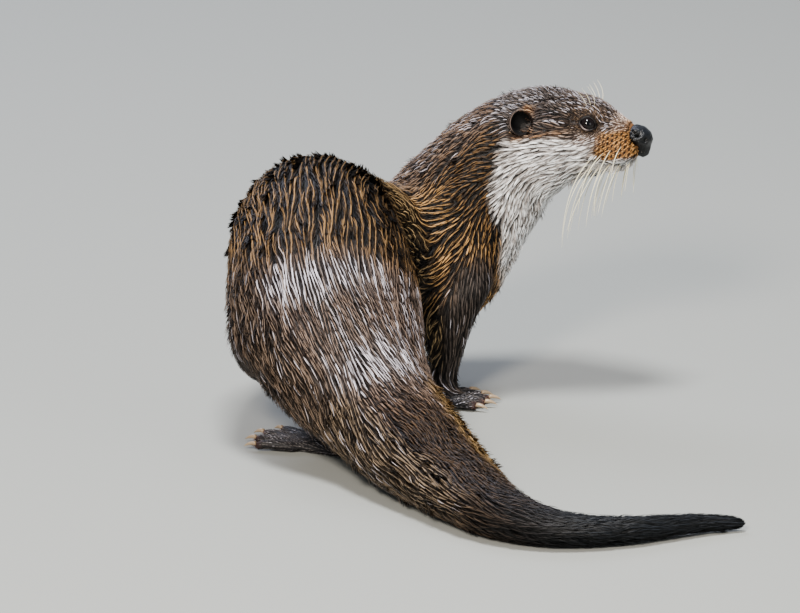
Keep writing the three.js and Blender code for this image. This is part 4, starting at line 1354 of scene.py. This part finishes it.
# ears
for name, s in (("right", -1), ("left", 1)):
    out, fore, up = earWays(s)
    a = (2 * math.pi * np.arange(ear["sides"]) / ear["sides"])[None]
    share, height = np.array(ear["rows"]).T[:, :, None]
    number = np.arange(len(ear["rows"]))[:, None]
    high = np.where(height > 0, height * earStand(a), height)
    fold = 0.9 * bell(a, 5.9, 0.35) * bell(number, 8, 1.5)
    reach = (ear["radius"] * (1 + 0.07 * bell(a, 2.0, 0.5)) * share)[..., None]
    place = mirrored(ear["middle"], s) + out * (high + fold)[..., None]
    place = place + reach * (np.cos(a)[..., None] * fore + ear["tall"] * np.sin(a)[..., None] * up)
    outside, inside, rim = (fromHex(ear[key]) for key in ("outside", "inside", "rim"))
    # deeper into the cup the colour turns near black: the ear's dark skin with painted shade over it
    tone = mix(outside, inside, smooth(number, 5.2, 7.5)[..., None])
    rimTone = bell(number, 4.8, 1.0) * smooth(-np.cos(a) + 0.5 * np.sin(a), 0.1, 0.8)
    faces = ringFaces(len(ear["rows"]), ear["sides"])
    me = meshFrom(f"ear{name}", fromHead(place.reshape(-1, 3)), faces if s > 0 else [face[::-1] for face in faces])
    paint(me, "coat", mix(tone, rim, rimTone[..., None]).reshape(-1, 3))
    addPiece(f"ear{name.capitalize()}", me, earFinish, "ear_skin", f"ear_{name}")
print("ears made")

# claws
claw = {"sides": 12, "rings": 9, "bend": 0.9, "sink": 1.5, "flat": 0.8, "point": 0.03}
for limb in paws:
    clawRows, faces, places = [], [], []
    foot = nodePoints(limb.replace("claw", "foot"))[0].mean(0)
    for i in range(1, 6):
        p, _ = nodePoints(f"{limb}_{i}")
        middle = p.mean(0)
        axis = np.linalg.svd(p - middle)[2][0]
        axis = axis if dot(axis, middle - foot) > 0 else -axis
        reach = (p - middle) @ axis
        start, length = middle + axis * (reach.min() - claw["sink"]), reach.max() - reach.min() + claw["sink"]
        sideWay = unit(np.cross(axis, [0, 0, 1.0]))
        topWay = np.cross(sideWay, axis)
        wide, tall = (np.abs((p - middle) @ way).max() for way in (sideWay, topWay))
        base, sides = len(clawRows), claw["sides"]
        t = np.linspace(0, 1, claw["rings"])[:, None]
        sizes = (1 - t**1.8) * (1 - claw["point"]) + claw["point"]
        centre = start + axis * length * t + topWay * claw["bend"] * (4 * t * (1 - t) - 0.3 * t)
        clawRows += [*tube(centre, sizes, wide * sideWay, tall * claw["flat"] * topWay, sides), start + axis * length]
        places += [(k / sides * 6, one * length) for one in t[:, 0] for k in range(sides)] + [(0, length)]
        last, tip = base + (claw["rings"] - 1) * sides, len(clawRows) - 1
        faces += ringFaces(claw["rings"], sides, base) + [[last + k, last + (k + 1) % sides, tip] for k in range(sides)]
        faces.append([base + k for k in range(sides)][::-1])
    grounded = np.array(clawRows)
    grounded[:, 2] = np.maximum(grounded[:, 2], 0.1)
    me = meshFrom(limb, grounded, faces)
    giveMap(me, "strand", np.array(places))
    limbName = limb.replace("_", " ").title().replace(" ", "")
    addPiece(f"claws{limbName}", me, clawFinish, "claw_keratin", *[f"{limb}_{i}" for i in range(1, 6)])
print("claws made")

# whiskers
whisker = {
    "sides": 5, "rings": 12, "rows": 3, "perRow": 5,
    "thick": 0.62, "endThick": 0.04,  # mm, thicker than life so that they show
    "brows": 3, "browThick": 0.3, "root": "#a08a68", "tip": "#f4ecc9",
}
hairPoints, hairFaces, hairColours = [], [], []


def addHair(spot, way, droop, length, thick):  # leaves the skin along `way` and bends over to `droop`
    start = np.array(surface.find_nearest(fromHead([spot])[0])[0][:])
    way, droop = headTurn @ way, headTurn @ droop
    t = np.linspace(0, 1, whisker["rings"])[:, None]
    path = start + length * (way * t * (1 - 0.5 * t) + droop * 0.72 * t**2)
    run = unit(np.gradient(path, axis=0))
    sideWay = unit(np.cross(run, [0.1, 0.2, 1.0]))
    topWay = np.cross(sideWay, run)
    hairFaces.extend(ringFaces(whisker["rings"], whisker["sides"], len(hairPoints)))
    sizes = thick / 2 * (1 - t) ** 0.5 + whisker["endThick"]
    hairPoints.extend(tube(path, sizes, sideWay, topWay, whisker["sides"]))
    colours = mix(fromHex(whisker["root"]), fromHex(whisker["tip"]), np.minimum(1, t * 4))
    hairColours.extend(np.repeat(colours, whisker["sides"], axis=0))


for s in (1, -1):
    for row in range(whisker["rows"]):
        for i in range(whisker["perRow"]):
            u, v = i / (whisker["perRow"] - 1), row / (whisker["rows"] - 1)
            spot = np.array([27 - 20 * u + 1.5 * v, s * (12 + 9 * u - 2 * v), -19 - 7 * v - 3 * u])
            length = 17 + 38 * u + 5 * (1 - abs(2 * v - 1)) + rng.uniform(-5, 5)
            way = unit(np.array([-0.25 - 0.6 * u, s * (0.55 - 0.25 * v), -0.7 - 0.2 * v]) + rng.normal(size=3) * 0.1)
            droop = unit(np.array([-0.02 - 0.12 * u, s * 0.05, -1]) + rng.normal(size=3) * 0.08)
            addHair(spot, way, droop, length, whisker["thick"])
    for i in range(whisker["brows"]):
        way, droop = unit(np.array([0.25 - 0.3 * i, s * 0.3, 1.0])), unit(np.array([-0.5, s * 0.2, 0.6]))
        addHair(np.array([4 - 2.5 * i, s * (16 + 2 * i), 12.5]), way, droop, 15 - 2 * i, whisker["browThick"])
me = meshFrom("whiskers", hairPoints, hairFaces)
paint(me, "coat", hairColours)
addPiece("whiskers", me, whiskerFinish, "guard_hair_head")
print("whiskers made")

# camera: low over the shoulder from the animal's right, with a long lens
camera = {"away": 8000, "elevation": 16, "target": (0, 0, 100), "width": 800, "pixelsPerMm": 1.39, "sensor": 36}
tilt = math.radians(camera["elevation"])
target = np.array(camera["target"]) + poseShift * [1, 1, 0]
view = bpy.data.cameras.new("camera")
view.lens = camera["pixelsPerMm"] * camera["away"] * camera["sensor"] / camera["width"]
view.sensor_width, view.clip_end = camera["sensor"], 100
cameraOb = addObject("camera", view)
cameraOb.location = Vector((target - camera["away"] * np.array([0, math.cos(tilt), -math.sin(tilt)])) / 1000)
cameraOb.rotation_euler = (math.pi / 2 - tilt, 0, 0)
bpy.context.scene.camera = cameraOb

# floor and light
studio = {"floorHalf": 12, "floor": "#8f918d", "world": "#dfe6ee", "glow": 0.46}  # half the floor's width in metres
half = studio["floorHalf"]
floorMesh = bpy.data.meshes.new("floor")
floorMesh.from_pydata([(-half, -half, 0), (half, -half, 0), (half, half, 0), (-half, half, 0)], [], [[0, 1, 2, 3]])
floorFinish = newMaterial("paleMattPaint")  # matt paint, so it only takes a soft shadow
surfaceOf(floorFinish, {"Base Color": (*fromHex(studio["floor"]), 1), "Roughness": 0.9}, {})
floorMesh.materials.append(floorFinish)
addObject("floor", floorMesh)

world = bpy.data.worlds.new("studio")
bpy.context.scene.world = world
world.use_nodes = True
background = world.node_tree.nodes["Background"]
background.inputs["Color"].default_value = (*fromHex(studio["world"]), 1)
background.inputs["Strength"].default_value = studio["glow"]
lights = {  # place and size in metres, aimed at the middle of the body
    "overhead": {"at": (-0.15, -0.45, 2.6), "size": 0.55, "watts": 128, "colour": "#ffffff"},
    "key": {"at": (-0.6, -2.1, 1.5), "size": 0.45, "watts": 100, "colour": "#fff4e6"},
    "sky": {"at": (-0.9, 1.6, 1.7), "size": 1.2, "watts": 42, "colour": "#e3e8ff"},
    "fill": {"at": (1.9, -1.6, 0.9), "size": 1.2, "watts": 14, "colour": "#ffffff"},
}
for name, lamp in lights.items():
    data = bpy.data.lights.new(name, "AREA")
    data.size, data.energy = lamp["size"], lamp["watts"]
    data.color = fromHex(lamp["colour"])
    ob = addObject(name, data)
    ob.location = lamp["at"]
    ob.rotation_euler = (Vector((0, 0, 0.1)) - Vector(lamp["at"])).to_track_quat("-Z", "Y").to_euler()
